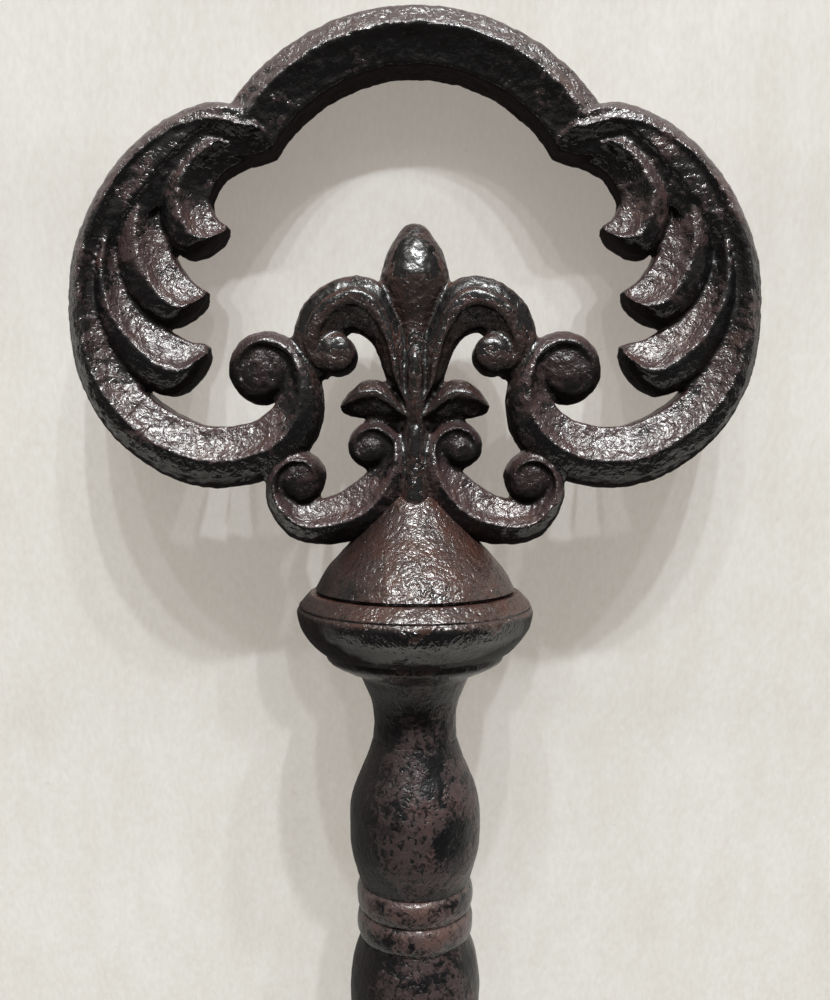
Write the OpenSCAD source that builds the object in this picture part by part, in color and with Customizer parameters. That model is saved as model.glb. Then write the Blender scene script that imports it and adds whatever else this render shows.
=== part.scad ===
// Large decorative skeleton key, hanging by its bow. The bow lies in the XZ plane and faces -Y.
// The origin is the inside top of the arch, where a hook holds the key. Z points up, sizes are mm.

/* [Bow] */
// Width of the bow across its two side lobes
bow_w = 128.8; // [120:0.5:140]
// Height from the hook's seat under the arch down to the collar's mouth
bow_h = 79.6; // [74:0.1:86]
// Thickness of the scrolls, front crest to back crest
bow_t = 13; // [10.5:0.5:16]
// Width of the arch's band
arch_w = 11; // [9.5:0.1:12.5]
// Widest part of a lobe's band
lobe_w = 11.6; // [10.5:0.1:12.8]
// Widest part of a leaf inside a lobe
leaf_w = 8.6; // [7.8:0.1:9.6]
// Widest part of a side petal
petal_w = 8.8; // [8:0.1:10]
// Widest part of a small cap leaf
sepal_w = 6.4; // [5.5:0.1:7.5]
// Widest part of a base scroll
scroll_w = 9.5; // [9:0.1:11.5]
// Radius of the eye that ends a lobe
lobe_eye_r = 4.9; // [4:0.1:5.5]
// Radius of the eye that ends a petal
petal_eye_r = 3.5; // [3:0.1:4.2]
// Radius of the eyes that end a base scroll
base_eye_r = 3.8; // [3.4:0.1:4.5]
// Radius of the bud at its widest
bud_r = 6.7; // [5.5:0.1:8]
// Length of the bud, tip to point
bud_l = 26; // [22:0.5:29]
// Width of the stem that the scrolls are joined to
stem_w = 5; // [4:0.1:6]
// Thickness of the stem, front to back
stem_t = 9.6; // [8:0.1:12]

/* [Joints of the bow] */
// Radius of the dowels between the scrolls
dowel_r = 1; // [0.7:0.1:1.4]
// Length of a dowel across a joint
dowel_l = 7; // [5:0.5:8]
// Depth of a dowel that crosses the stem, in the scroll on either side
cross_in = 2.5; // [1.5:0.1:3]
// Radial clearance of a dowel in its bore
dowel_fit = 0.05; // [0.02:0.01:0.2]
// Radius of the round tang that stands in the collar
tang_r = 4.5; // [4.2:0.1:5]
// Length of the tang inside the collar
tang_l = 12; // [10:0.5:15]
// Clearance round the tang and under its foot
tang_fit = 0.2; // [0.1:0.05:0.4]
// Height of the shoulder that rests on the collar's mouth
shoulder_h = 1.6; // [1:0.1:2.5]

/* [Collar] */
// Height of the collar's cone
cone_h = 16.8; // [15.5:0.1:21]
// Radius of the cone's foot
cone_r = 19.1; // [18:0.1:20.5]
// Width of the lip round the mouth at the cone's top
mouth_lip = 0.4; // [0.2:0.1:1]
// Radius of the rim, the widest turning
rim_r = 22.4; // [21.5:0.1:26]
// Height of the rim
rim_h = 11.2; // [9:0.1:14]
// Radius of the rim's lower edge, where the cup begins
cup_r = 17.8; // [16:0.1:19]
// Height of the cup and neck together
cup_h = 17.2; // [15:0.5:24]
// Radius of the neck at its thinnest
neck_r = 7.9; // [7:0.1:10]

/* [Balusters] */
// Height of the upper baluster
upper_h = 27.6; // [22:0.5:36]
// Largest radius of the upper baluster
upper_r = 12.6; // [11.5:0.1:15]
// Height of one bead ring
bead_h = 5.3; // [4.5:0.1:8]
// Radius of the bead rings
bead_r = 11.2; // [10.9:0.1:13]
// Radius at the grooves between the rings
groove_r = 10.5; // [9.5:0.1:10.8]
// Height of the lower baluster
lower_h = 41; // [32:0.5:50]
// Largest radius of the lower baluster
lower_r = 12.6; // [11.5:0.1:15]
// Height of the turned stop above the shank
stop_h = 10; // [7:0.5:14]
// Radius of the turned stop above the shank
stop_r = 11; // [9.5:0.1:13]

/* [Shank and bit] */
// Length of the shank
shank_l = 134.5; // [110:0.5:160]
// Radius of the shank
shank_r = 7.5; // [6.5:0.1:8.5]
// Height of the bit along the shank
bit_h = 42; // [36:0.5:50]
// Reach of the bit from the shank's axis
bit_out = 42; // [38:0.5:50]
// Thickness of the bit's plate
bit_t = 8; // [5:0.5:10]
// Width of the ward slots and of the cross cut in the bit
ward_w = 4.6; // [4.2:0.1:5.5]
// Depth of the ward slots from the bit's outer edge
ward_d = 9; // [5:0.5:11]
// Length of each arm of the cross cut, end to end
cross_l = 16; // [12:0.5:18]
// Distance from the lower end of the shank to the bit
bit_up = 8; // [4:0.5:20]
// Wall of the bit's sleeve round the shank
sleeve_wall = 2.2; // [1.6:0.1:3]
// Clearance between the sleeve and the shank
sleeve_fit = 0.15; // [0.05:0.05:0.3]
// Radius of the pins that hold the bit
pin_r = 1.5; // [1:0.1:2]
// Radial clearance of a pin in its bore
pin_fit = 0.05; // [0.02:0.01:0.2]
// Depth to which a pin goes into the shank
pin_in = 2.6; // [2:0.1:3]

/* [Lower end] */
// Height of the turned foot under the shank
foot_h = 7; // [6.5:0.1:10]
// Radius of the turned foot under the shank
foot_r = 10.5; // [9.5:0.1:13]
// Radius of the plain tip, which a socket can hold
tip_r = 7; // [6:0.1:8.5]
// Length of the tip
tip_l = 13.5; // [12:0.5:20]
// Chamfer round the tip's end
tip_chamfer = 1.5; // [0.5:0.1:2.5]

/* [Tie rod] */
// Radius of the tie rod
rod_r = 2.5; // [2:0.1:2.8]
// Radial clearance of the rod in the turnings
rod_fit = 0.4; // [0.2:0.05:0.6]
// Radial clearance of the rod in its threads
thread_fit = 0.05; // [0.02:0.01:0.1]
// Depth of the rod's threads in the tang and in the tip
thread_l = 8; // [5:0.5:9]
// Thickness of the nut
nut_h = 4; // [3:0.1:4.5]
// Width of the nut across its flats
nut_w = 8; // [7:0.1:8.5]
// Thickness of the washer
washer_h = 1; // [0.8:0.1:1.2]
// Radius of the washer
washer_r = 5; // [4.9:0.1:5.4]
// Clearance round the washer and under the nut
nut_fit = 0.3; // [0.1:0.1:0.5]

/* [Hidden] */
$fn = 64;

// Colours of the painted castings, the redder turnings and the steel inside
iron = [0.22, 0.17, 0.16];
rusty = [0.27, 0.18, 0.15];
steel = [0.6, 0.6, 0.62];

// The scroll points below are drawn in mm at this size and follow the bow's width and height
drawn_w = 128.8;
drawn_h = 79.6;
function at(x, z) = [x * bow_w / drawn_w, z * bow_h / drawn_h];
function route(points) = [for (q = points) concat(at(q[0], q[1]), [q[2]])];

// Smooth curve through points, with a number of steps between each two
function blend(a, b, c, d, t) =
    0.5 * (2 * b + (c - a) * t + (2 * a - 5 * b + 4 * c - d) * t * t
    + (3 * b - a - 3 * c + d) * t * t * t);
function curve(p, steps) = [
    for (i = [0:len(p) - 2])
        for (k = [0:steps - 1])
            blend(
                i == 0 ? 2 * p[0] - p[1] : p[i - 1],
                p[i],
                p[i + 1],
                i == len(p) - 2 ? 2 * p[i + 1] - p[i] : p[i + 2],
                k / steps
            ),
    p[len(p) - 1]
];

// Section of every scroll, as shares of its width and half thickness: a bevel up to the crest near
// the outer edge, a hollow, and a lip at the inner edge. The back is the same.
front_side = [[-0.5, -0.35], [-0.32, -0.82], [-0.08, -1], [0.18, -0.64], [0.38, -0.72], [0.5, -0.4]];
section = concat(front_side, [for (i = [5:-1:0]) [front_side[i][0], -front_side[i][1]]]);

// Direction across a route, from its outer edge to its inner one, at point i
function across(p, i) =
    let (
        a = p[max(0, i - 1)],
        b = p[min(len(p) - 1, i + 1)],
        d = [b[0] - a[0], b[1] - a[1]]
    ) [-d[1], d[0]] / norm(d);

// A scroll along points [x, z, share of the width], its outer edge on the right of its travel.
// A narrow end is thinner too.
module scroll(points, width) {
    path = curve(points, 3);
    n = len(section);
    last = len(path) - 1;
    rings = [
        for (i = [0:last])
            let (
                c = path[i],
                s = across(path, i),
                w = width * c[2],
                t = bow_t / 2 * min(1, 0.45 + 0.9 * c[2])
            )
                for (q = section) [c[0] + s[0] * w * q[0], t * q[1], c[1] + s[1] * w * q[0]]
    ];
    sides = [
        for (i = [0:last - 1])
            for (k = [0:n - 1])
                let (a = i * n + k, b = i * n + (k + 1) % n)
                    for (tri = [[a, b, b + n], [a, b + n, a + n]]) tri
    ];
    // Each end is closed by a strip between the front and the back of its ring
    ends = [
        for (k = [0:n / 2 - 2])
            let (a = k, b = k + 1, c = n - 2 - k, d = n - 1 - k, e = last * n)
                for (tri = [[a, c, b], [a, d, c], [e + a, e + b, e + c], [e + a, e + c, e + d]]) tri
    ];
    polyhedron(rings, concat(sides, ends));
}

// The raised eye of a volute
module eye(x, z, r) {
    p = at(x, z);
    rise = 0.3 * r;
    half = bow_t / 2;
    translate([p[0], 0, p[1]])
        rotate([90, 0, 0])
            rotate_extrude()
                polygon([
                    [0, -half], [r - rise, -half + rise / 4], [r, -half + rise],
                    [r, half - rise], [r - rise, half - rise / 4], [0, half]
                ]);
}

// The arch's inside runs round a circle through the origin, a little past its joints
arch_r = 30.3;
arch_half_angle = 66;
arch_steps = 10;
arch_route = [
    for (i = [0:arch_steps])
        let (a = arch_half_angle * (1 - 2 * i / arch_steps))
            concat(at(arch_r * sin(a), arch_r * (cos(a) - 1)) + arch_w / 2 * [sin(a), cos(a)], [1])
];

// Routes of the scrolls on the left side, [x, z, share of the width], from root to free end
lobe_route = route([
    [-26, -11.1, 0.95], [-36.5, -11, 0.86], [-43.2, -12.7, 0.74], [-50.3, -17.5, 0.64],
    [-56.3, -25.4, 0.6], [-60, -34.6, 0.59], [-60.6, -44.4, 0.62], [-58.8, -54.3, 0.73],
    [-53.5, -62.9, 0.88], [-45.4, -68.9, 0.98], [-37.4, -71.1, 1], [-28.8, -69.7, 0.96],
    [-23, -65.1, 0.86], [-21.2, -58.8, 0.67], [-22.9, -52.9, 0.47], [-27.7, -49.6, 0.34],
    [-32.2, -51.5, 0.26], [-33.6, -55.1, 0.17]
]);
lower_leaf_route = route([
    [-39.4, -11.5, 0.6], [-47.5, -18.7, 0.72], [-52.5, -28.5, 0.76], [-53.9, -38.6, 0.82],
    [-51.9, -48.4, 1.03], [-46.4, -53.6, 1.02], [-41.2, -53.7, 0.75], [-38.9, -51, 0.16]
]);
middle_leaf_route = route([
    [-37.7, -12, 0.62], [-44.4, -19.7, 0.74], [-48.3, -28.5, 0.8], [-48.3, -36.8, 0.9],
    [-44.7, -41.7, 0.82], [-41, -42.5, 0.54], [-39.1, -40.3, 0.16]
]);
upper_leaf_route = route([
    [-33.3, -12, 0.9], [-39.1, -17.2, 0.98], [-42.3, -23.8, 0.96], [-41, -29.5, 0.8],
    [-37.9, -31.3, 0.54], [-35, -28.9, 0.16]
]);
petal_route = route([
    [-4.2, -59.3, 0.4], [-4, -54.8, 0.5], [-5.2, -49.8, 0.72], [-7.8, -44.6, 0.92],
    [-12.5, -42.1, 0.95], [-17.1, -43.7, 0.8], [-19.6, -47.6, 0.58], [-18.9, -51.7, 0.4],
    [-16.6, -53.3, 0.28]
]);
sepal_route = route([
    [-3, -66.7, 0.6], [-4.6, -62.3, 0.72], [-7.3, -59.8, 0.96], [-10.5, -60.3, 0.9],
    [-13.5, -62.3, 0.5]
]);
base_route = route([
    [-20.7, -71.5, 0.28], [-23.9, -71.7, 0.34], [-26.5, -74.8, 0.42], [-25.5, -79.4, 0.58],
    [-20.8, -83.1, 0.82], [-14.2, -82.7, 0.98], [-8.2, -79.3, 0.93], [-4.3, -74.1, 0.72],
    [-4.5, -69.5, 0.5], [-6.6, -66.6, 0.36], [-9.5, -66.5, 0.26]
]);

// Joints between the castings: [x, z, angle of the normal that points to the second piece, length]
arch_to_lobe = [-30, -10.3, 225, 19];
lobe_to_petal = [-21.6, -52.3, 27.7, 9.5];
lobe_to_base = [-24.4, -71.9, -63.4, 15];
petal_to_sepal = [-5.2, -56.8, -90, 14];
sepal_to_base = [-6.4, -64.7, -90, 16];
trim_depth = 9;

// Heights at which a dowel crosses the stem into the petals, the cap leaves and the base scrolls
cross_heights = [-52.8, -62.1, -72.8];

// Block on one side of a joint: it trims the piece of the other side
module beyond(joint, side) {
    p = at(joint[0], joint[1]);
    translate([p[0], 0, p[1]])
        rotate([0, -joint[2], 0])
            translate([side > 0 ? 0 : -trim_depth, -bow_t, -joint[3] / 2])
                cube([trim_depth, 2 * bow_t, joint[3]]);
}

// Dowel across a joint, or its bore with a clearance all round
module joint_dowel(joint, fit) {
    p = at(joint[0], joint[1]);
    translate([p[0], 0, p[1]])
        rotate([0, 90 - joint[2], 0])
            cylinder(r = dowel_r + fit, h = dowel_l + 2 * fit, center = true);
}

// Dowels through the stem, or their bores
module cross_dowels(fit) {
    for (z = cross_heights)
        translate([0, 0, at(0, z)[1]])
            rotate([0, 90, 0])
                cylinder(r = dowel_r + fit, h = stem_w + 2 * (cross_in + fit), center = true);
}

// Heights of the seats down the key's axis
mouth_z = -bow_h;
cone_foot_z = mouth_z - cone_h;
cup_z = cone_foot_z - rim_h;
neck_z = cup_z - cup_h;
upper_foot_z = neck_z - upper_h;
ring_z = upper_foot_z - bead_h;
lower_top_z = ring_z - bead_h;
lower_foot_z = lower_top_z - lower_h;
shank_top_z = lower_foot_z - stop_h;
shank_foot_z = shank_top_z - shank_l;
tip_z = shank_foot_z - foot_h;
tip_end_z = tip_z - tip_l;
tang_foot_z = mouth_z - tang_l;
bit_z = shank_foot_z + bit_up;
nut_z = shank_foot_z - foot_h + nut_fit;

mouth_r = tang_r + tang_fit;
bore_r = rod_r + rod_fit;
tap_r = rod_r + thread_fit;
sleeve_bore = shank_r + sleeve_fit;
sleeve_r = sleeve_bore + sleeve_wall;

// Length by which a cut runs past the face that it opens
past = 1;

// Outline of a turning from points [radius, depth below its top]
function outline(z, points) = [for (q = points) [q[0], z - q[1]]];

// Turning about the key's axis, from its outline from top to bottom, with a bore
module turned(line, bore) {
    top = line[0][1];
    bottom = line[len(line) - 1][1];
    rotate_extrude()
        polygon(concat([[bore, top]], line, [[bore, bottom]]));
}

// The collar's cone and the stem's shoulder, which the base scrolls stand against
cone_flare = cone_r - mouth_r;
cone_outline = outline(mouth_z, curve([
    [mouth_r + mouth_lip, 0], [mouth_r + 0.45 * cone_flare, 0.4 * cone_h],
    [mouth_r + 0.83 * cone_flare, 0.75 * cone_h], [cone_r, cone_h]
], 4));
module shoulder() {
    translate([0, 0, mouth_z])
        cylinder(r1 = mouth_r + mouth_lip, r2 = stem_w / 2, h = shoulder_h);
}
module collar_room() {
    turned(cone_outline, 0);
    shoulder();
}

// The bud and the stem, which the petals and the cap leaves stand against
bud_top_z = at(0, -27.3)[1];
module bud_body() {
    rotate_extrude()
        polygon(outline(bud_top_z, curve([
            [0, 0], [0.3 * bud_r, 0.03 * bud_l], [0.52 * bud_r, 0.1 * bud_l],
            [0.74 * bud_r, 0.19 * bud_l], [0.89 * bud_r, 0.29 * bud_l], [bud_r, 0.42 * bud_l],
            [0.9 * bud_r, 0.57 * bud_l], [0.68 * bud_r, 0.74 * bud_l], [0.4 * bud_r, 0.9 * bud_l],
            [0, bud_l]
        ], 3)));
}
module stem_bar() {
    edge = stem_w / 4;
    face = stem_t / 2;
    flank = stem_t / 3;
    side = stem_w / 2;
    translate([0, 0, mouth_z])
        linear_extrude(bud_top_z - bud_l / 2 - mouth_z)
            polygon([
                [-side, -flank], [-edge, -face], [edge, -face], [side, -flank],
                [side, flank], [edge, face], [-edge, face], [-side, flank]
            ]);
}
module stem_side() {
    translate([-stem_w / 2, -bow_t, tang_foot_z])
        cube([bow_w / 4, 2 * bow_t, -tang_foot_z]);
}

// Castings of the bow, all drawn on the left
module lobe() {
    difference() {
        union() {
            scroll(lobe_route, lobe_w);
            scroll(lower_leaf_route, leaf_w);
            scroll(middle_leaf_route, leaf_w);
            scroll(upper_leaf_route, leaf_w);
            eye(-28.6, -54.4, lobe_eye_r);
        }
        beyond(arch_to_lobe, -1);
        beyond(lobe_to_petal, 1);
        beyond(lobe_to_base, 1);
        joint_dowel(arch_to_lobe, dowel_fit);
        joint_dowel(lobe_to_petal, dowel_fit);
        joint_dowel(lobe_to_base, dowel_fit);
    }
}
module petal() {
    difference() {
        union() {
            scroll(petal_route, petal_w);
            eye(-15.7, -51.3, petal_eye_r);
        }
        beyond(lobe_to_petal, -1);
        beyond(petal_to_sepal, 1);
        stem_side();
        bud_body();
        joint_dowel(lobe_to_petal, dowel_fit);
        cross_dowels(dowel_fit);
    }
}
module sepal() {
    difference() {
        scroll(sepal_route, sepal_w);
        beyond(petal_to_sepal, -1);
        beyond(sepal_to_base, 1);
        stem_side();
        cross_dowels(dowel_fit);
    }
}
module base_scroll() {
    difference() {
        union() {
            scroll(base_route, scroll_w);
            eye(-7.4, -68.5, base_eye_r);
            eye(-20.9, -75.6, base_eye_r);
        }
        beyond(lobe_to_base, -1);
        beyond(sepal_to_base, -1);
        stem_side();
        collar_room();
        joint_dowel(lobe_to_base, dowel_fit);
        cross_dowels(dowel_fit);
    }
}

// Radial pins that hold the bit from the back, or their bores
module bit_pin(r, inner, outer) {
    for (share = [0.2, 0.8])
        translate([0, inner, bit_z + share * bit_h])
            rotate([-90, 0, 0])
                cylinder(r = r, h = outer - inner);
}

// Sub-parts
module arch() {
    color(iron)
        difference() {
            scroll(arch_route, arch_w);
            for (side = [0, 1])
                mirror([side, 0, 0]) {
                    beyond(arch_to_lobe, 1);
                    joint_dowel(arch_to_lobe, dowel_fit);
                }
        }
}
module left_lobe() color(iron) lobe();
module right_lobe() color(iron) mirror([1, 0, 0]) lobe();
module fleur_bud() {
    color(iron)
        difference() {
            union() {
                bud_body();
                stem_bar();
                shoulder();
                translate([0, 0, tang_foot_z])
                    cylinder(r = tang_r, h = tang_l);
            }
            cross_dowels(dowel_fit);
            translate([0, 0, tang_foot_z - past])
                cylinder(r = tap_r, h = thread_l + past);
        }
}
module left_petal() color(iron) petal();
module right_petal() color(iron) mirror([1, 0, 0]) petal();
module left_sepal() color(iron) sepal();
module right_sepal() color(iron) mirror([1, 0, 0]) sepal();
module left_base_scroll() color(iron) base_scroll();
module right_base_scroll() color(iron) mirror([1, 0, 0]) base_scroll();
module bow_dowels() {
    color(steel) {
        for (side = [0, 1])
            mirror([side, 0, 0]) {
                joint_dowel(arch_to_lobe, 0);
                joint_dowel(lobe_to_petal, 0);
                joint_dowel(lobe_to_base, 0);
            }
        cross_dowels(0);
    }
}
module collar_cone() {
    color(rusty)
        difference() {
            turned(cone_outline, bore_r);
            translate([0, 0, tang_foot_z - tang_fit])
                cylinder(r = mouth_r, h = tang_l + tang_fit + past);
        }
}
module collar_rim() {
    flare = rim_r - cone_r;
    tuck = rim_r - cup_r;
    color(rusty)
        turned(outline(cone_foot_z, curve([
            [cone_r + 0.1 * flare, 0], [cone_r + 0.6 * flare, 0.14 * rim_h], [rim_r, 0.37 * rim_h],
            [rim_r - 0.16 * tuck, 0.61 * rim_h], [rim_r - 0.62 * tuck, 0.87 * rim_h], [cup_r, rim_h]
        ], 4)), bore_r);
}
module neck_cup() {
    lip = 0.95 * cup_r;
    flare = lip - neck_r;
    color(iron)
        turned(outline(cup_z, curve([
            [lip, 0], [neck_r + 0.89 * flare, 0.09 * cup_h], [neck_r + 0.62 * flare, 0.185 * cup_h],
            [neck_r + 0.34 * flare, 0.255 * cup_h], [neck_r + 0.22 * flare, 0.36 * cup_h],
            [neck_r + 0.05 * flare, 0.58 * cup_h], [neck_r, 0.78 * cup_h], [1.02 * neck_r, cup_h]
        ], 3)), bore_r);
}
module upper_baluster() {
    swell = upper_r - neck_r;
    color(iron)
        turned(outline(neck_z, curve([
            [1.02 * neck_r, 0], [neck_r + 0.33 * swell, 0.15 * upper_h],
            [neck_r + 0.73 * swell, 0.3 * upper_h], [neck_r + 0.96 * swell, 0.45 * upper_h],
            [upper_r, 0.6 * upper_h], [neck_r + 0.97 * swell, 0.75 * upper_h],
            [neck_r + 0.75 * swell, 0.9 * upper_h], [groove_r, upper_h]
        ], 3)), bore_r);
}
module bead_ring(z) {
    swell = bead_r - groove_r;
    color(iron)
        turned(outline(z, curve([
            [groove_r, 0], [groove_r + 0.75 * swell, 0.2 * bead_h], [bead_r, 0.5 * bead_h],
            [groove_r + 0.75 * swell, 0.8 * bead_h], [groove_r, bead_h]
        ], 3)), bore_r);
}
module upper_bead_ring() bead_ring(upper_foot_z);
module lower_bead_ring() bead_ring(ring_z);
module lower_baluster() {
    swell = lower_r - neck_r;
    color(iron)
        turned(outline(lower_top_z, curve([
            [groove_r, 0], [neck_r + 0.68 * swell, 0.05 * lower_h],
            [neck_r + 0.85 * swell, 0.11 * lower_h], [lower_r, 0.22 * lower_h],
            [neck_r + 0.97 * swell, 0.34 * lower_h], [neck_r + 0.72 * swell, 0.52 * lower_h],
            [neck_r + 0.34 * swell, 0.7 * lower_h], [neck_r + 0.08 * swell, 0.86 * lower_h],
            [neck_r, lower_h]
        ], 3)), bore_r);
}
module shank_stop() {
    color(iron)
        turned(outline(lower_foot_z, curve([
            [1.05 * neck_r, 0], [stop_r, 0.18 * stop_h], [stop_r, 0.36 * stop_h],
            [0.85 * stop_r, 0.5 * stop_h], [0.93 * stop_r, 0.64 * stop_h],
            [0.93 * stop_r, 0.8 * stop_h], [1.08 * shank_r, stop_h]
        ], 4)), bore_r);
}
module shank_tube() {
    color(iron)
        difference() {
            translate([0, 0, shank_foot_z])
                cylinder(r = shank_r, h = shank_l);
            translate([0, 0, shank_foot_z - past])
                cylinder(r = bore_r, h = shank_l + 2 * past);
            bit_pin(pin_r + pin_fit, shank_r - pin_in - pin_fit, shank_r + past);
        }
}
module bit() {
    plate_l = bit_out - sleeve_bore;
    cross_x = sleeve_r + (bit_out - ward_d - sleeve_r) / 2;
    color(iron)
        difference() {
            union() {
                translate([0, 0, bit_z])
                    cylinder(r = sleeve_r, h = bit_h);
                translate([sleeve_bore, bit_t / 2, bit_z])
                    rotate([90, 0, 0])
                        linear_extrude(bit_t)
                            square([plate_l, bit_h]);
            }
            translate([0, 0, bit_z - past])
                cylinder(r = sleeve_bore, h = bit_h + 2 * past);
            for (share = [0.25, 0.75])
                translate([bit_out - ward_d, -bit_t, bit_z + share * bit_h - ward_w / 2])
                    cube([ward_d + past, 2 * bit_t, ward_w]);
            for (size = [[cross_l, ward_w], [ward_w, cross_l]])
                translate([cross_x - size[0] / 2, -bit_t, bit_z + bit_h / 2 - size[1] / 2])
                    cube([size[0], 2 * bit_t, size[1]]);
            bit_pin(pin_r + pin_fit, shank_r / 2, sleeve_r + past);
        }
}
module bit_pins() color(steel) bit_pin(pin_r, shank_r - pin_in, sleeve_r - pin_fit);
module foot_collar() {
    color(iron)
        difference() {
            turned(outline(shank_foot_z, curve([
                [1.08 * shank_r, 0], [foot_r, 0.3 * foot_h], [foot_r, 0.7 * foot_h],
                [1.1 * tip_r, foot_h]
            ], 4)), bore_r);
            translate([0, 0, tip_z - past])
                cylinder(r = washer_r + nut_fit, h = washer_h + nut_h + nut_fit + past);
        }
}
module tip() {
    color(iron)
        difference() {
            turned([
                [tip_r, tip_z], [tip_r, tip_end_z + tip_chamfer], [tip_r - tip_chamfer, tip_end_z]
            ], 0);
            translate([0, 0, tip_z - thread_l - thread_fit])
                cylinder(r = tap_r, h = thread_l + thread_fit + past);
        }
}
module tie_rod() {
    bottom = tip_z - thread_l;
    color(steel)
        translate([0, 0, bottom])
            cylinder(r = rod_r, h = tang_foot_z + thread_l - bottom);
}
module rod_washer() {
    color(steel)
        turned([[washer_r, nut_z + nut_h + washer_h], [washer_r, nut_z + nut_h]], bore_r);
}
module rod_nut() {
    color(steel)
        difference() {
            translate([0, 0, nut_z])
                cylinder(d = nut_w / cos(30), h = nut_h, $fn = 6);
            translate([0, 0, nut_z - past])
                cylinder(r = tap_r, h = nut_h + 2 * past);
        }
}

arch();
left_lobe();
right_lobe();
fleur_bud();
left_petal();
right_petal();
left_sepal();
right_sepal();
left_base_scroll();
right_base_scroll();
bow_dowels();
collar_cone();
collar_rim();
neck_cup();
upper_baluster();
upper_bead_ring();
lower_bead_ring();
lower_baluster();
shank_stop();
shank_tube();
bit();
bit_pins();
foot_collar();
tip();
tie_rod();
rod_washer();
rod_nut();
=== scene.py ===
"""A decorative skeleton key of painted cast iron: scroll bow, turned stem, bit and tip."""

from __future__ import annotations

import logging
import math
from dataclasses import dataclass, field
from enum import Enum
from typing import Any, Sequence

import bpy
import numpy as np
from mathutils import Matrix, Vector

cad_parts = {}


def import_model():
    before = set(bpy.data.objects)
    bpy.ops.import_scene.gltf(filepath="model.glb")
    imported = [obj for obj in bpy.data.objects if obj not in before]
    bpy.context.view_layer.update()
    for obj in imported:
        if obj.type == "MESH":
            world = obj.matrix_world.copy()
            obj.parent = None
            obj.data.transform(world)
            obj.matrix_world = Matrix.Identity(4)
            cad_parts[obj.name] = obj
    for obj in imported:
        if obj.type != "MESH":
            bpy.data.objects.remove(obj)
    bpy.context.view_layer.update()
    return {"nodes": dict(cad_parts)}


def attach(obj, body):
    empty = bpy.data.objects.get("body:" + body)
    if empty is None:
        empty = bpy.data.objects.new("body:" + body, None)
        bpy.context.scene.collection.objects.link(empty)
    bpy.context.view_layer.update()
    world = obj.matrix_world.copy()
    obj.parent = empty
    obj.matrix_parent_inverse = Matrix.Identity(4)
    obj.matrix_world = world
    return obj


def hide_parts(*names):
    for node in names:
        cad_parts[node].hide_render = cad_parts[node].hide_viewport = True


MM = 0.001
log = logging.getLogger("key")

# A point of an outline, a point with a share, the two edges of a leaf with a share, a place, and a colour.
Knot = tuple[float, float]
Stop = tuple[float, float, float]
Span = tuple[float, float, float, float, float]
Place = tuple[float, float, float]
Colour = tuple[float, float, float]

UP = Vector((0, 0, 1))
THROUGH = Vector((0, 1, 0))


def smooth(points: Sequence[Sequence[float]], steps: int) -> list[tuple[float, ...]]:
    """Run a smooth curve through points.

    Args:
        points: The points, of any number of coordinates.
        steps: Steps between each two of them.

    Returns:
        The points of the curve, both ends among them.
    """
    p = [np.array(q, float) for q in points]
    p = [2 * p[0] - p[1], *p, 2 * p[-1] - p[-2]]
    out: list[tuple[float, ...]] = []
    for a, b, c, d in zip(p, p[1:], p[2:], p[3:]):
        for k in range(steps):
            t = k / steps
            q = 2 * b + (c - a) * t + (2 * a - 5 * b + 4 * c - d) * t * t
            q = 0.5 * (q + (3 * b - a - 3 * c + d) * t**3)
            out.append(tuple(q))
    out.append(tuple(p[-2]))
    return out


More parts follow.
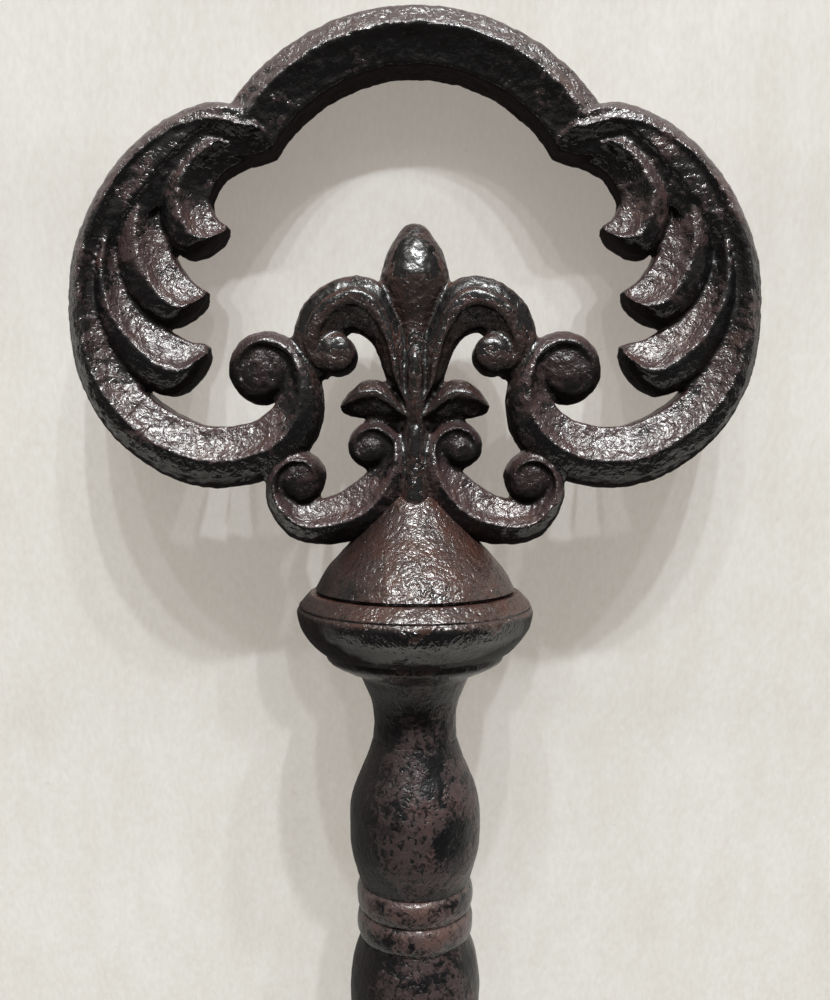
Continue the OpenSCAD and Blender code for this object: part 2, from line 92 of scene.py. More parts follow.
class Bench:
    """The moves by which every piece is shaped."""

    @staticmethod
    def clear() -> None:
        """Go to object mode with nothing selected."""
        if bpy.context.object and bpy.context.object.mode != "OBJECT":
            bpy.ops.object.mode_set(mode="OBJECT")
        bpy.ops.object.select_all(action="DESELECT")

    @staticmethod
    def pick(*pieces: bpy.types.Object) -> bpy.types.Object:
        """Select pieces and nothing else.

        Args:
            *pieces: The pieces, the one to be active first.

        Returns:
            The active piece.
        """
        Bench.clear()
        for piece in pieces:
            piece.select_set(True)
        bpy.context.view_layer.objects.active = pieces[0]
        return pieces[0]

    @staticmethod
    def edit(mode: str = "VERT", action: str = "SELECT") -> None:
        """Enter edit mode.

        Args:
            mode: What is selected: VERT, EDGE or FACE.
            action: SELECT for all, DESELECT for nothing.
        """
        bpy.ops.object.mode_set(mode="EDIT")
        bpy.ops.mesh.select_mode(type=mode)
        bpy.ops.mesh.select_all(action=action)

    @staticmethod
    def done() -> bpy.types.Object:
        """Leave edit mode and return the piece."""
        bpy.ops.object.mode_set(mode="OBJECT")
        return bpy.context.object

    @staticmethod
    def line(name: str, points: Sequence[Vector]) -> bpy.types.Object:
        """Draw a chain of edges from one vertex, and stay in edit mode.

        Args:
            name: Name of the new piece.
            points: The chain's points, in metres.

        Returns:
            The new piece.
        """
        Bench.clear()
        bpy.ops.mesh.primitive_plane_add(size=MM)
        piece = bpy.context.object
        piece.name = name
        Bench.edit()
        bpy.ops.mesh.merge(type="CENTER")
        bpy.ops.transform.translate(value=points[0])
        for a, b in zip(points, points[1:]):
            bpy.ops.mesh.extrude_region_move(TRANSFORM_OT_translate={"value": b - a})
        return piece

    @staticmethod
    def face() -> None:
        """Close the chain being drawn into a face."""
        bpy.ops.mesh.select_all(action="SELECT")
        bpy.ops.mesh.remove_doubles(threshold=1e-7)
        bpy.ops.mesh.edge_face_add()

    @staticmethod
    def outward() -> bpy.types.Object:
        """Merge doubles, turn the faces outwards and leave edit mode.

        Returns:
            The piece.
        """
        bpy.ops.mesh.select_all(action="SELECT")
        bpy.ops.mesh.remove_doubles(threshold=1e-6)
        bpy.ops.mesh.normals_make_consistent(inside=False)
        return Bench.done()

    @staticmethod
    def turn(name: str, points: Sequence[Vector], centre: Vector, axis: Vector, steps: int) -> bpy.types.Object:
        """Spin a chain of points into a closed solid.

        Args:
            name: Name of the new piece.
            points: The outline, from the axis round to the axis.
            centre: A point on the axis.
            axis: Direction of the axis.
            steps: Steps round.

        Returns:
            The turned piece.
        """
        Bench.line(name, points)
        bpy.ops.mesh.select_all(action="SELECT")
        bpy.ops.mesh.spin(steps=steps, angle=2 * math.pi, center=centre, axis=axis)
        return Bench.outward()

    @staticmethod
    def apply(piece: bpy.types.Object, kind: str, **settings: Any) -> None:
        """Add a modifier to a piece and apply it.

        Args:
            piece: The piece.
            kind: The modifier's type.
            **settings: Values of the modifier.
        """
        Bench.pick(piece)
        modifier = piece.modifiers.new(kind.title(), kind)
        for key, value in settings.items():
            setattr(modifier, key, value)
        bpy.ops.object.modifier_apply(modifier=modifier.name)

    @staticmethod
    def join(name: str, pieces: Sequence[bpy.types.Object]) -> bpy.types.Object:
        """Join pieces into one mesh.

        Args:
            name: Name of the whole.
            pieces: The pieces, at least one.

        Returns:
            The whole.
        """
        whole = Bench.pick(*pieces)
        bpy.ops.object.join()
        whole.name = name
        return whole

    @staticmethod
    def mirror(piece: bpy.types.Object) -> bpy.types.Object:
        """Copy a piece to the other side, with its own mesh.

        Args:
            piece: The piece, which stays as it is.

        Returns:
            The copy.
        """
        Bench.pick(piece)
        bpy.ops.object.duplicate(linked=False)
        Bench.edit()
        bpy.ops.transform.resize(value=(-1, 1, 1), center_override=(0, 0, 0))
        bpy.ops.mesh.normals_make_consistent(inside=False)
        return Bench.done()

    @staticmethod
    def trim(piece: bpy.types.Object, at: Vector, normal: Vector) -> None:
        """Cut away what lies ahead of a plane, and close the cut.

        Args:
            piece: The piece.
            at: A point of the plane.
            normal: The direction in which the piece is cut away.
        """
        Bench.pick(piece)
        Bench.edit()
        bpy.ops.mesh.bisect(plane_co=at, plane_no=normal, use_fill=True, clear_outer=True)
        Bench.outward()

    @staticmethod
    def cap(piece: bpy.types.Object) -> None:
        """Close each open rim of a piece with a fan to the rim's middle.

        Args:
            piece: The piece.
        """
        Bench.pick(piece)
        Bench.edit("EDGE", "DESELECT")
        bpy.ops.mesh.select_non_manifold(
            extend=False, use_wire=False, use_multi_face=False, use_non_contiguous=False, use_verts=False,
        )
        bpy.ops.mesh.extrude_region_move(TRANSFORM_OT_translate={"value": (0, 0, 0)})
        bpy.ops.mesh.merge(type="COLLAPSE")
        bpy.ops.mesh.select_all(action="SELECT")
        bpy.ops.mesh.normals_make_consistent(inside=False)
        Bench.done()

    @staticmethod
    def volume(piece: bpy.types.Object) -> float:
        """Work out the volume of a closed piece.

        Args:
            piece: The piece.

        Returns:
            Its volume, below zero where it is inside out.
        """
        mesh = piece.data
        mesh.calc_loop_triangles()
        places = np.empty(len(mesh.vertices) * 3, np.float32)
        mesh.vertices.foreach_get("co", places)
        corners = np.empty(len(mesh.loop_triangles) * 3, np.int32)
        mesh.loop_triangles.foreach_get("vertices", corners)
        a, b, c = places.astype(float).reshape(-1, 3)[corners.reshape(-1, 3)].transpose(1, 0, 2)
        return float((a * np.cross(b, c)).sum() / 6)

    @staticmethod
    def sound(piece: bpy.types.Object) -> None:
        """Turn a closed piece right side out if it is inside out.

        Args:
            piece: The piece.
        """
        if Bench.volume(piece) < 0:
            Bench.pick(piece)
            Bench.edit()
            bpy.ops.mesh.flip_normals()
            Bench.done()

    @staticmethod
    def brush(piece: bpy.types.Object) -> bpy.types.Object:
        """Brush off the crumbs that a parting left on a piece.

        Args:
            piece: The piece, with its rims still open.

        Returns:
            Its largest part, which is all that is kept.
        """
        Bench.pick(piece)
        Bench.edit()
        bpy.ops.mesh.separate(type="LOOSE")
        Bench.done()
        parts = sorted(bpy.context.selected_objects, key=lambda part: len(part.data.polygons))
        for crumb in parts[:-1]:
            log.info("%s: a crumb of %d faces", piece.name, len(crumb.data.polygons))
            bpy.data.objects.remove(crumb)
        return Bench.pick(parts[-1])

    @staticmethod
    def rounded(piece: bpy.types.Object, angle: float = 50) -> None:
        """Shade a piece smooth, but for edges sharper than an angle in degrees."""
        Bench.pick(piece)
        bpy.ops.object.shade_smooth_by_angle(angle=math.radians(angle))


@dataclass(frozen=True)
class Wire:
    """A value in a shader, on which Python's own arithmetic works."""

    tree: bpy.types.NodeTree
    socket: bpy.types.NodeSocket

    def _sum(self, operation: str, first: Any, second: Any = 0.0, clamp: bool = False) -> Wire:
        """Add a Math node.

        Args:
            operation: What it works out.
            first: A value or number.
            second: The other one.
            clamp: Whether the result is kept between 0 and 1.

        Returns:
            The result.
        """
        node = self.tree.nodes.new("ShaderNodeMath")
        node.operation = operation
        node.use_clamp = clamp
        for slot, value in zip(node.inputs, (first, second)):
            if isinstance(value, Wire):
                self.tree.links.new(value.socket, slot)
            else:
                slot.default_value = value
        return Wire(self.tree, node.outputs[0])

    def __add__(self, other: Any) -> Wire:
        """Add."""
        return self._sum("ADD", self, other)

    def __radd__(self, other: Any) -> Wire:
        """Add to a number."""
        return self._sum("ADD", other, self)

    def __sub__(self, other: Any) -> Wire:
        """Subtract."""
        return self._sum("SUBTRACT", self, other)

    def __rsub__(self, other: Any) -> Wire:
        """Subtract from a number."""
        return self._sum("SUBTRACT", other, self)

    def __mul__(self, other: Any) -> Wire:
        """Multiply."""
        return self._sum("MULTIPLY", self, other)

    def __rmul__(self, other: Any) -> Wire:
        """Multiply a number."""
        return self._sum("MULTIPLY", other, self)

    def __pow__(self, other: Any) -> Wire:
        """Raise to a power."""
        return self._sum("POWER", self, other)

    def clamped(self) -> Wire:
        """Keep between 0 and 1."""
        return self._sum("ADD", self, 0.0, True)

    def between(self, low: float, high: float) -> Wire:
        """Rise from 0 at low to 1 at high."""
        return ((self - low) * (1 / (high - low))).clamped()


class Nodes:
    """A node tree, and the one way in which nodes other than sums are added to it."""

    def __init__(self, tree: bpy.types.NodeTree) -> None:
        """Take a tree."""
        self.tree = tree

    def add(
        self, kind: str, settings: dict[str, Any] | None = None, sockets: dict[Any, Any] | None = None,
    ) -> bpy.types.Node:
        """Add a node.

        Args:
            kind: The node's type, without its ShaderNode prefix.
            settings: The node's own settings, which are set first.
            sockets: Values or links of its inputs, by name or number.

        Returns:
            The node.
        """
        node = self.tree.nodes.new("ShaderNode" + kind)
        for key, value in (settings or {}).items():
            setattr(node, key, value)
        for key, value in (sockets or {}).items():
            self.feed(node.inputs[key], value)
        return node

    def feed(self, slot: bpy.types.NodeSocket, value: Any) -> None:
        """Link or set one input.

        Args:
            slot: The input.
            value: A value or an output to link, or a number or colour to set.
        """
        if isinstance(value, Wire):
            self.tree.links.new(value.socket, slot)
        elif isinstance(value, bpy.types.NodeSocket):
            self.tree.links.new(value, slot)
        elif slot.type == "RGBA" and len(value) == 3:
            slot.default_value = (*value, 1)
        else:
            slot.default_value = value

    def wire(self, socket: bpy.types.NodeSocket) -> Wire:
        """Wrap an output as a value."""
        return Wire(self.tree, socket)

    def axes(self, vector: bpy.types.NodeSocket) -> tuple[Wire, Wire, Wire]:
        """Part a vector into its x, y and z."""
        x, y, z = self.add("SeparateXYZ", None, {0: vector}).outputs
        return self.wire(x), self.wire(y), self.wire(z)


class Recipe(Nodes):
    """The node tree of one material."""

    def __init__(self, name: str) -> None:
        """Start a material with only its shader and output.

        Args:
            name: Its name.
        """
        self.material = bpy.data.materials.new(name)
        self.material.use_nodes = True
        super().__init__(self.material.node_tree)
        self.shader = self.tree.nodes["Principled BSDF"]

    def millimetres(self) -> bpy.types.NodeSocket:
        """Return the piece's own coordinates in millimetres."""
        place = self.add("TexCoord").outputs["Object"]
        return self.add("VectorMath", {"operation": "SCALE"}, {0: place, "Scale": 1 / MM}).outputs[0]

    def stretched(self, place: bpy.types.NodeSocket, height: float) -> bpy.types.NodeSocket:
        """Return coordinates on which a pattern is 1 / height times as tall."""
        return self.add("VectorMath", {"operation": "MULTIPLY"}, {0: place, 1: (1, 1, height)}).outputs[0]

    def noise(
        self, place: bpy.types.NodeSocket, size: float, detail: float = 2, rough: float = 0.5, bent: float = 0,
    ) -> Wire:
        """Add noise.

        Args:
            place: Coordinates in millimetres.
            size: Size of its lumps, in millimetres.
            detail: Finer layers on it.
            rough: Strength of the finer layers.
            bent: How far it is twisted into worms.

        Returns:
            The noise, from 0 to 1.
        """
        sockets = {"Vector": place, "Scale": 1 / size, "Detail": detail, "Roughness": rough, "Distortion": bent}
        return self.wire(self.add("TexNoise", None, sockets).outputs[0])

    def mix(self, share: Any, first: Any, second: Any) -> bpy.types.NodeSocket:
        """Mix two colours by a share of the second."""
        return self.add("Mix", {"data_type": "RGBA"}, {0: share, 6: first, 7: second}).outputs[2]

    def bump(self, height: Wire, distance: float) -> bpy.types.NodeSocket:
        """Bump the surface by a height, from 0 to 1, times a distance in millimetres."""
        return self.add("Bump", None, {"Height": height, "Distance": distance * MM, "Strength": 1.0}).outputs[0]

    def finish(self, **sockets: Any) -> bpy.types.Material:
        """Feed the shader's inputs.

        Args:
            **sockets: What goes to each input, with underscores for spaces.

        Returns:
            The material.
        """
        for key, value in sockets.items():
            self.feed(self.shader.inputs[key.replace("_", " ")], value)
        return self.material

    def blend(self, share: Wire, second: bpy.types.NodeSocket) -> None:
        """Mix another shader into the material's own."""
        mixed = self.add("MixShader", None, {0: share, 1: self.shader.outputs[0], 2: second}).outputs[0]
        self.feed(self.tree.nodes["Material Output"].inputs["Surface"], mixed)


@dataclass(frozen=True)
class PaintedIron:
    """Old paint on rough sand-cast iron: grainy brown and rust, and smooth glossy black over part of them.

    Attributes:
        name: Name of the material.
        brown: Tone of the brown paint.
        rust: Tone of the brown where rust comes through.
        black: Tone of the black paint.
        wall: Tone of the painted shade: the matte dark coat on the outer wall faces, undersides and volutes' eyes.
        blackness: Share of black, from 0 to 1.
        rustiness: Share of rust, from 0 to 1.
        gloss: Roughness of the paint.
        grain: Height of the grain, in millimetres.
        speckle: Strength of the black pits.
        shine: Refraction of the paint.
        fall: Painted shade: how much more black lies on what faces down.
        band: How much more black lies on the crests.
        under_shade: Painted shade: how black the undersides are.
        wall_shade: Painted shade: how much of a matte dark coat the outer wall faces, undersides and volutes' eyes
            get.
        left_shade: Painted shade: how matte and black the left side is.
        smooth: How much of the grain the black paint fills.
        eyes: The volutes' eyes on both sides, where a matte dark shade is painted, [distance from the middle, height,
            radius] in millimetres.
    """

    name: str
    brown: Colour = (0.040, 0.024, 0.022)
    rust: Colour = (0.080, 0.033, 0.024)
    black: Colour = (0.004, 0.004, 0.005)
    wall: Colour = (0.012, 0.009, 0.009)
    blackness: float = 0.5
    rustiness: float = 0.3
    gloss: float = 0.3
    grain: float = 0.4
    speckle: float = 0.4
    shine: float = 1.7
    fall: float = 0.4
    band: float = 0
    under_shade: float = 0.7
    wall_shade: float = 0
    left_shade: float = 0
    smooth: float = 0.55
    eyes: tuple[Place, ...] = ()

    def eye_shade(self, r: Recipe, at: bpy.types.NodeSocket) -> Wire:
        """Find the volutes' eyes, where shade is painted.

        Args:
            r: The recipe.
            at: The piece's coordinates in millimetres.

        Returns:
            A share that is 1 in the eyes and 0 elsewhere.
        """
        across, _, height = r.axes(at)
        found = across * 0
        for x, z, radius in self.eyes:
            aside, drop = (across * across) ** 0.5 - x, height - z
            away = (aside * aside + drop * drop) ** 0.5
            found = found + 1 - away.between(radius * 0.8, radius * 1.1)
        return found.clamped()

    def make(self) -> bpy.types.Material:
        """Mix the finish.

        Returns:
            The material.
        """
        r = Recipe(self.name)
        at = r.millimetres()
        right, through, up = r.axes(r.add("NewGeometry").outputs["Normal"])
        ridge = r.wire(r.add("NewGeometry").outputs["Pointiness"])
        patch = r.noise(at, size=8, detail=4, rough=0.62)
        grain = r.noise(at, size=1.1, detail=1, rough=0.45, bent=1)
        fine = r.noise(at, size=0.35, detail=2, rough=0.6)
        lumps = r.noise(at, size=2.4, detail=1)
        stains = r.noise(at, size=6, detail=3, rough=0.6)
        pits = r.noise(r.stretched(at, 0.7), size=0.75, bent=0.3).between(0.565, 0.64) * self.speckle

        # Where the piece faces: its left side, its crests, its undersides and the grooves in it. Shade is painted on
        # the left side, the undersides and the grooves.
        left_shade = (0 - right).between(0.15, 0.8) * self.left_shade
        crest = (1 - (up - 0.3) * (up - 0.3) * 7).clamped() * (through * through).between(0.3, 0.7)
        under = (0 - up).between(0.05, 0.55)
        groove = 1 - ridge.between(0.40, 0.49)

        # Rust and black paint over the brown, with painted shade: more black on what faces down and on the left side,
        # and black grooves and undersides.
        rust = (stains + up * 0.12).between(0.62 - 0.3 * self.rustiness, 0.75)
        shade = patch + (grain - 0.5) * 0.4 + (0.13 - up) * self.fall + (crest - 0.4) * self.band + left_shade * 0.15
        low = 0.62 - 0.3 * self.blackness
        dark = shade.between(low - 0.02, low + 0.1)
        colour = r.mix(rust, self.brown, self.rust)
        colour = r.mix(dark, colour, self.black)
        colour = r.mix(pits, colour, self.black)
        colour = r.mix((groove + under * self.under_shade).clamped() * 0.9, colour, self.black)

        # The black is smoother than the brown.
        worn = (patch - 0.5) * 0.2 + (fine - 0.5) * 0.2
        rough = (self.gloss + (0.5 - dark) * 0.07 + worn + groove * 0.25 - under * 0.06).clamped()
        height = (grain * 0.8 + lumps * 0.9 + fine * 0.09 - pits * 0.3) * (1.1 - self.smooth * dark)
        normal = r.bump(height, self.grain)
        r.finish(Base_Color=colour, Roughness=rough, Normal=normal, IOR=self.shine)

        # Painted shade: the outer wall faces, undersides, the volutes' eyes and the left side get a matte dark coat
        # with little reflection.
        sockets = {"Base Color": self.wall, "Roughness": 0.9, "Specular IOR Level": 0.1, "Normal": normal}
        shade_coat = r.add("BsdfPrincipled", None, sockets).outputs[0]
        share = (1 - through * through).between(0.5, 0.85) * (0.35 - up).between(0, 0.3)
        share = share + (0 - up).between(0.4, 0.7) * 0.75 + self.eye_shade(r, at) * 0.65
        r.blend((share.clamped() * self.wall_shade + left_shade).clamped(), shade_coat)
        return r.material


@dataclass(frozen=True)
class PlainSteel:
    """Drawn steel, hidden inside the key."""

    name: str
    tone: Colour = (0.30, 0.29, 0.28)
    rust: Colour = (0.09, 0.045, 0.03)
    scratch: float = 0.03

    def make(self) -> bpy.types.Material:
        """Mix the finish.

        Returns:
            The material.
        """
        r = Recipe(self.name)
        at = r.millimetres()
        streak = r.noise(r.stretched(at, 0.08), size=0.3)
        rust = r.noise(at, size=3, detail=3, rough=0.6).between(0.58, 0.75)
        rough = (0.3 + streak * 0.25 + rust * 0.3).clamped()
        colour, normal = r.mix(rust, self.tone, self.rust), r.bump(streak, self.scratch)
        return r.finish(Base_Color=colour, Metallic=1 - rust * 0.8, Roughness=rough, Normal=normal)


class Finish(Enum):
    """The finishes of the key."""

    # Each finish also sets how much shade is painted on it: more black on what faces down, black undersides and
    # grooves, a matte dark coat on outer wall faces and the volutes' eyes, and a darker left side.
    SCROLL = PaintedIron("scroll paint", blackness=0.42, grain=0.36, fall=0.02, band=1, wall_shade=1, smooth=0.8)
    LOBE = PaintedIron(
        "lobe paint", brown=(0.058, 0.034, 0.036), rust=(0.080, 0.042, 0.036), blackness=0.45, gloss=0.28,
        grain=0.3, shine=1.8, wall_shade=1, eyes=((28.8, -55.2, 5.6), (21.2, -75.7, 4.7), (7.9, -69.3, 4.3)),
    )
    RUSTY = PaintedIron(
        "rusty paint", brown=(0.052, 0.030, 0.026), rustiness=0.6, gloss=0.24, grain=0.36, shine=1.8, wall_shade=0.8,
        left_shade=0.9,
    )
    TURNED = PaintedIron(
        "turned paint", brown=(0.058, 0.039, 0.040), rust=(0.090, 0.052, 0.047), blackness=0.57, gloss=0.38,
        grain=0.26, speckle=0.9, shine=1.42, fall=0.1, under_shade=0.2, left_shade=0.75,
    )
    RING = PaintedIron(
        "ring paint", brown=(0.090, 0.058, 0.054), rust=(0.12, 0.070, 0.060), blackness=0.42, grain=0.2,
        speckle=0.6, shine=1.6, fall=0.1, under_shade=0.3, left_shade=0.4,
    )
    STEEL = PlainSteel("hidden steel")

    def material(self) -> bpy.types.Material:
        """Return the finish's one material, made when first asked for."""
        return bpy.data.materials.get(self.value.name) or self.value.make()


def dress(piece: bpy.types.Object, finish: Finish, slot: str, *nodes: str) -> None:
    """Give a finished piece its material and hide the nodes that it stands for.

    Args:
        piece: The piece.
        finish: Its finish.
        slot: The record's material slot; not used.
        *nodes: The solids that it replaces.
    """
    piece.data.materials.clear()
    piece.data.materials.append(finish.material())
    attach(piece, "root")
    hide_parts(*nodes)
    log.info("%s: %d faces", piece.name, len(piece.data.polygons))


@dataclass(frozen=True)
class Section:
    """Cut across a band, as shares of its width and of its half thickness.

    Attributes:
        wall: Half the height of the outer wall.
        crest_at: Place of the crest, from -0.5 at the outer edge to 0.5 at the inner one.
        lip: Height of the inner edge.
        hollow: Depth of the dish between the crest and the inner edge.
        round: Half the width of the rounded crest.
        bevel: The bevel, from (0, 0) at the wall to (1, 1) at the crest.
    """

    wall: float = 0.34
    crest_at: float = -0.07
    lip: float = 0.55
    hollow: float = 0.12
    round: float = 0.04
    bevel: tuple[Knot, ...] = ((0.03, 0.2), (0.14, 0.43), (0.34, 0.68), (0.6, 0.87))

    def outline(self) -> list[Knot]:
        """Draw the section.

        Returns:
            The whole outline, round from the outer edge to itself.
        """
        crest, wall, lip, near = self.crest_at, self.wall, self.lip, self.round
        rise, fall = crest + 0.5, 0.47 - crest
        bevel = [(rise * t - 0.5, -wall - (0.96 - wall) * k) for t, k in self.bevel]
        slope = [
            (crest + fall * t, (1 - lip) * (t + self.hollow * 4 * t * (1 - t)) - 1)
            for t in (0.35, 0.5, 0.65, 0.85)
        ]
        # The front, from the middle of the outer edge over the crest to the middle of the inner edge.
        front = [
            (-0.5, 0.0), (-0.5, -wall), *bevel, (crest - near, -0.985), (crest, -1.0), (crest + near, -0.985), *slope,
            (0.47, -lip - 0.005), (0.5, -lip + 0.06), (0.5, 0.0),
        ]
        return front + [(x, -y) for x, y in front[-2:0:-1]]


# A flatter bevel, for the arch and the petals.
BROAD: tuple[Knot, ...] = ((0.04, 0.36), (0.14, 0.54), (0.3, 0.66), (0.65, 0.86))


@dataclass(frozen=True)
class Rib:
    """The place of a section: its centre, the angle of travel, its width and half thickness."""

    x: float
    z: float
    turn: float
    width: float
    half: float

    @property
    def centre(self) -> Vector:
        """Return the centre in metres."""
        return Vector((self.x, 0, self.z)) * MM


def sweep(name: str, section: Section, ribs: Sequence[Rib]) -> bpy.types.Object:
    """Draw a section at the first rib and extrude it through the others.

    Args:
        name: Name of the band.
        section: Its section.
        ribs: Where the section goes.

    Returns:
        The closed band.
    """
    first = ribs[0]
    side = Vector((-math.sin(first.turn), 0, math.cos(first.turn))) * MM * first.width
    ring = [first.centre + side * x + Vector((0, y * first.half * MM, 0)) for x, y in section.outline()]
    Bench.line(name, ring + ring[:1])
    Bench.face()
    for before, now in zip(ribs, ribs[1:]):
        turn = (now.turn - before.turn + math.pi) % (2 * math.pi) - math.pi
        wide, deep = now.width / before.width, now.half / before.half
        bpy.ops.mesh.extrude_region_move(TRANSFORM_OT_translate={"value": now.centre - before.centre})
        bpy.ops.transform.rotate(value=turn, orient_axis="Y", center_override=now.centre)
        bpy.ops.transform.resize(value=(wide, deep, wide), center_override=now.centre)
    return Bench.outward()


@dataclass(frozen=True)
class Scroll:
    """A band along a route, [x, z, share of the width], its outer edge on the right of its travel.

    A narrow end is thinner too: the half thickness is depth times thin + swell times the share, and at most depth.
    """

    name: str
    route: tuple[Stop, ...]
    width: float
    section: Section = Section()
    depth: float = 6.5
    steps: int = 5
    thin: float = 0.45
    swell: float = 0.9

    def build(self) -> bpy.types.Object:
        """Extrude the band along its route.

        Returns:
            The band.
        """
        stops = smooth(self.route, self.steps)
        ribs = []
        for i, (x, z, share) in enumerate(stops):
            a, b = stops[max(0, i - 1)], stops[min(len(stops) - 1, i + 1)]
            half = self.depth * min(1, self.thin + self.swell * share)
            ribs.append(Rib(x, z, math.atan2(b[1] - a[1], b[0] - a[0]), self.width * share, half))
        return sweep(self.name, self.section, ribs)


@dataclass(frozen=True)
class Blade:
    """A leaf between two edges, [outer x, outer z, inner x, inner z, share of the half thickness]."""

    name: str
    edges: tuple[Span, ...]
    section: Section
    depth: float = 6.5
    steps: int = 4

    def build(self) -> bpy.types.Object:
        """Extrude the leaf from its root to its tip.

        Returns:
            The leaf.
        """
        ribs = []
        for ox, oz, ix, iz, share in smooth(self.edges, self.steps):
            across = Vector((ix - ox, iz - oz))
            turn = math.atan2(-across.x, across.y)
            ribs.append(Rib((ox + ix) / 2, (oz + iz) / 2, turn, across.length, self.depth * share))
        return sweep(self.name, self.section, ribs)


@dataclass(frozen=True)
class Eye:
    """The flat-domed eye of a volute."""

    x: float
    z: float
    radius: float
    half: float = 6.3
    dome: tuple[Knot, ...] = ((0, 0), (0.4, 0.12), (0.72, 0.5), (0.93, 1.25), (1, 2.4))
    round: int = 40

    def build(self) -> bpy.types.Object:
        """Turn the eye about the axis through the key.

        Returns:
            The eye.
        """
        front = smooth([(x * self.radius, y - self.half) for x, y in self.dome], 4)
        outline = front + [(x, -y) for x, y in front[::-1]]
        points = [Vector((self.x + x, y, self.z)) * MM for x, y in outline]
        return Bench.turn("eye", points, Vector((self.x, 0, self.z)) * MM, THROUGH, self.round)


@dataclass(frozen=True)
class Cut:
    """A straight joint across the casting, with the angle that points ahead of it."""

    x: float
    z: float
    angle: float

    def normal(self) -> Vector:
        """Return the direction that points ahead."""
        turn = math.radians(self.angle)
        return Vector((math.cos(turn), 0, math.sin(turn)))

    def point(self, ahead: float) -> Vector:
        """Return a point some millimetres ahead of the joint, in metres."""
        return (Vector((self.x, 0, self.z)) + self.normal() * ahead) * MM

    def ahead(self, x: np.ndarray, z: np.ndarray) -> np.ndarray:
        """Tell which points lie ahead of the joint.

        Args:
            x: Their x, in millimetres.
            z: Their z, in millimetres.

        Returns:
            True for each point ahead.
        """
        turn = math.radians(self.angle)
        return (x - self.x) * math.cos(turn) + (z - self.z) * math.sin(turn) > 0


@dataclass
class Arch:
    """The half-round bar at the top.

    Attributes:
        inner: Radius of its inside.
        width: Its width.
        half_angle: How far it is drawn to each side, in degrees.
        section: Its section.
        foot: Height below which nothing belongs to it.
        parts: Points along it, less one.
    """

    inner: float = 30.3
    width: float = 11
    half_angle: float = 66
    section: Section = Section(crest_at=-0.08, lip=0.6, hollow=0.05, bevel=BROAD)
    foot: float = -22
    parts: int = 22

    def build(self) -> bpy.types.Object:
        """Extrude the bar round its centre line.

        Returns:
            The bar.
        """
        reach = self.inner + self.width / 2
        stops = []
        for i in range(self.parts + 1):
            a = math.radians(self.half_angle * (1 - 2 * i / self.parts))
            stops.append((-reach * math.sin(a), reach * math.cos(a) - self.inner, 1.0))
        return Scroll("arch bar", tuple(stops[::-1]), self.width, self.section, steps=2).build()


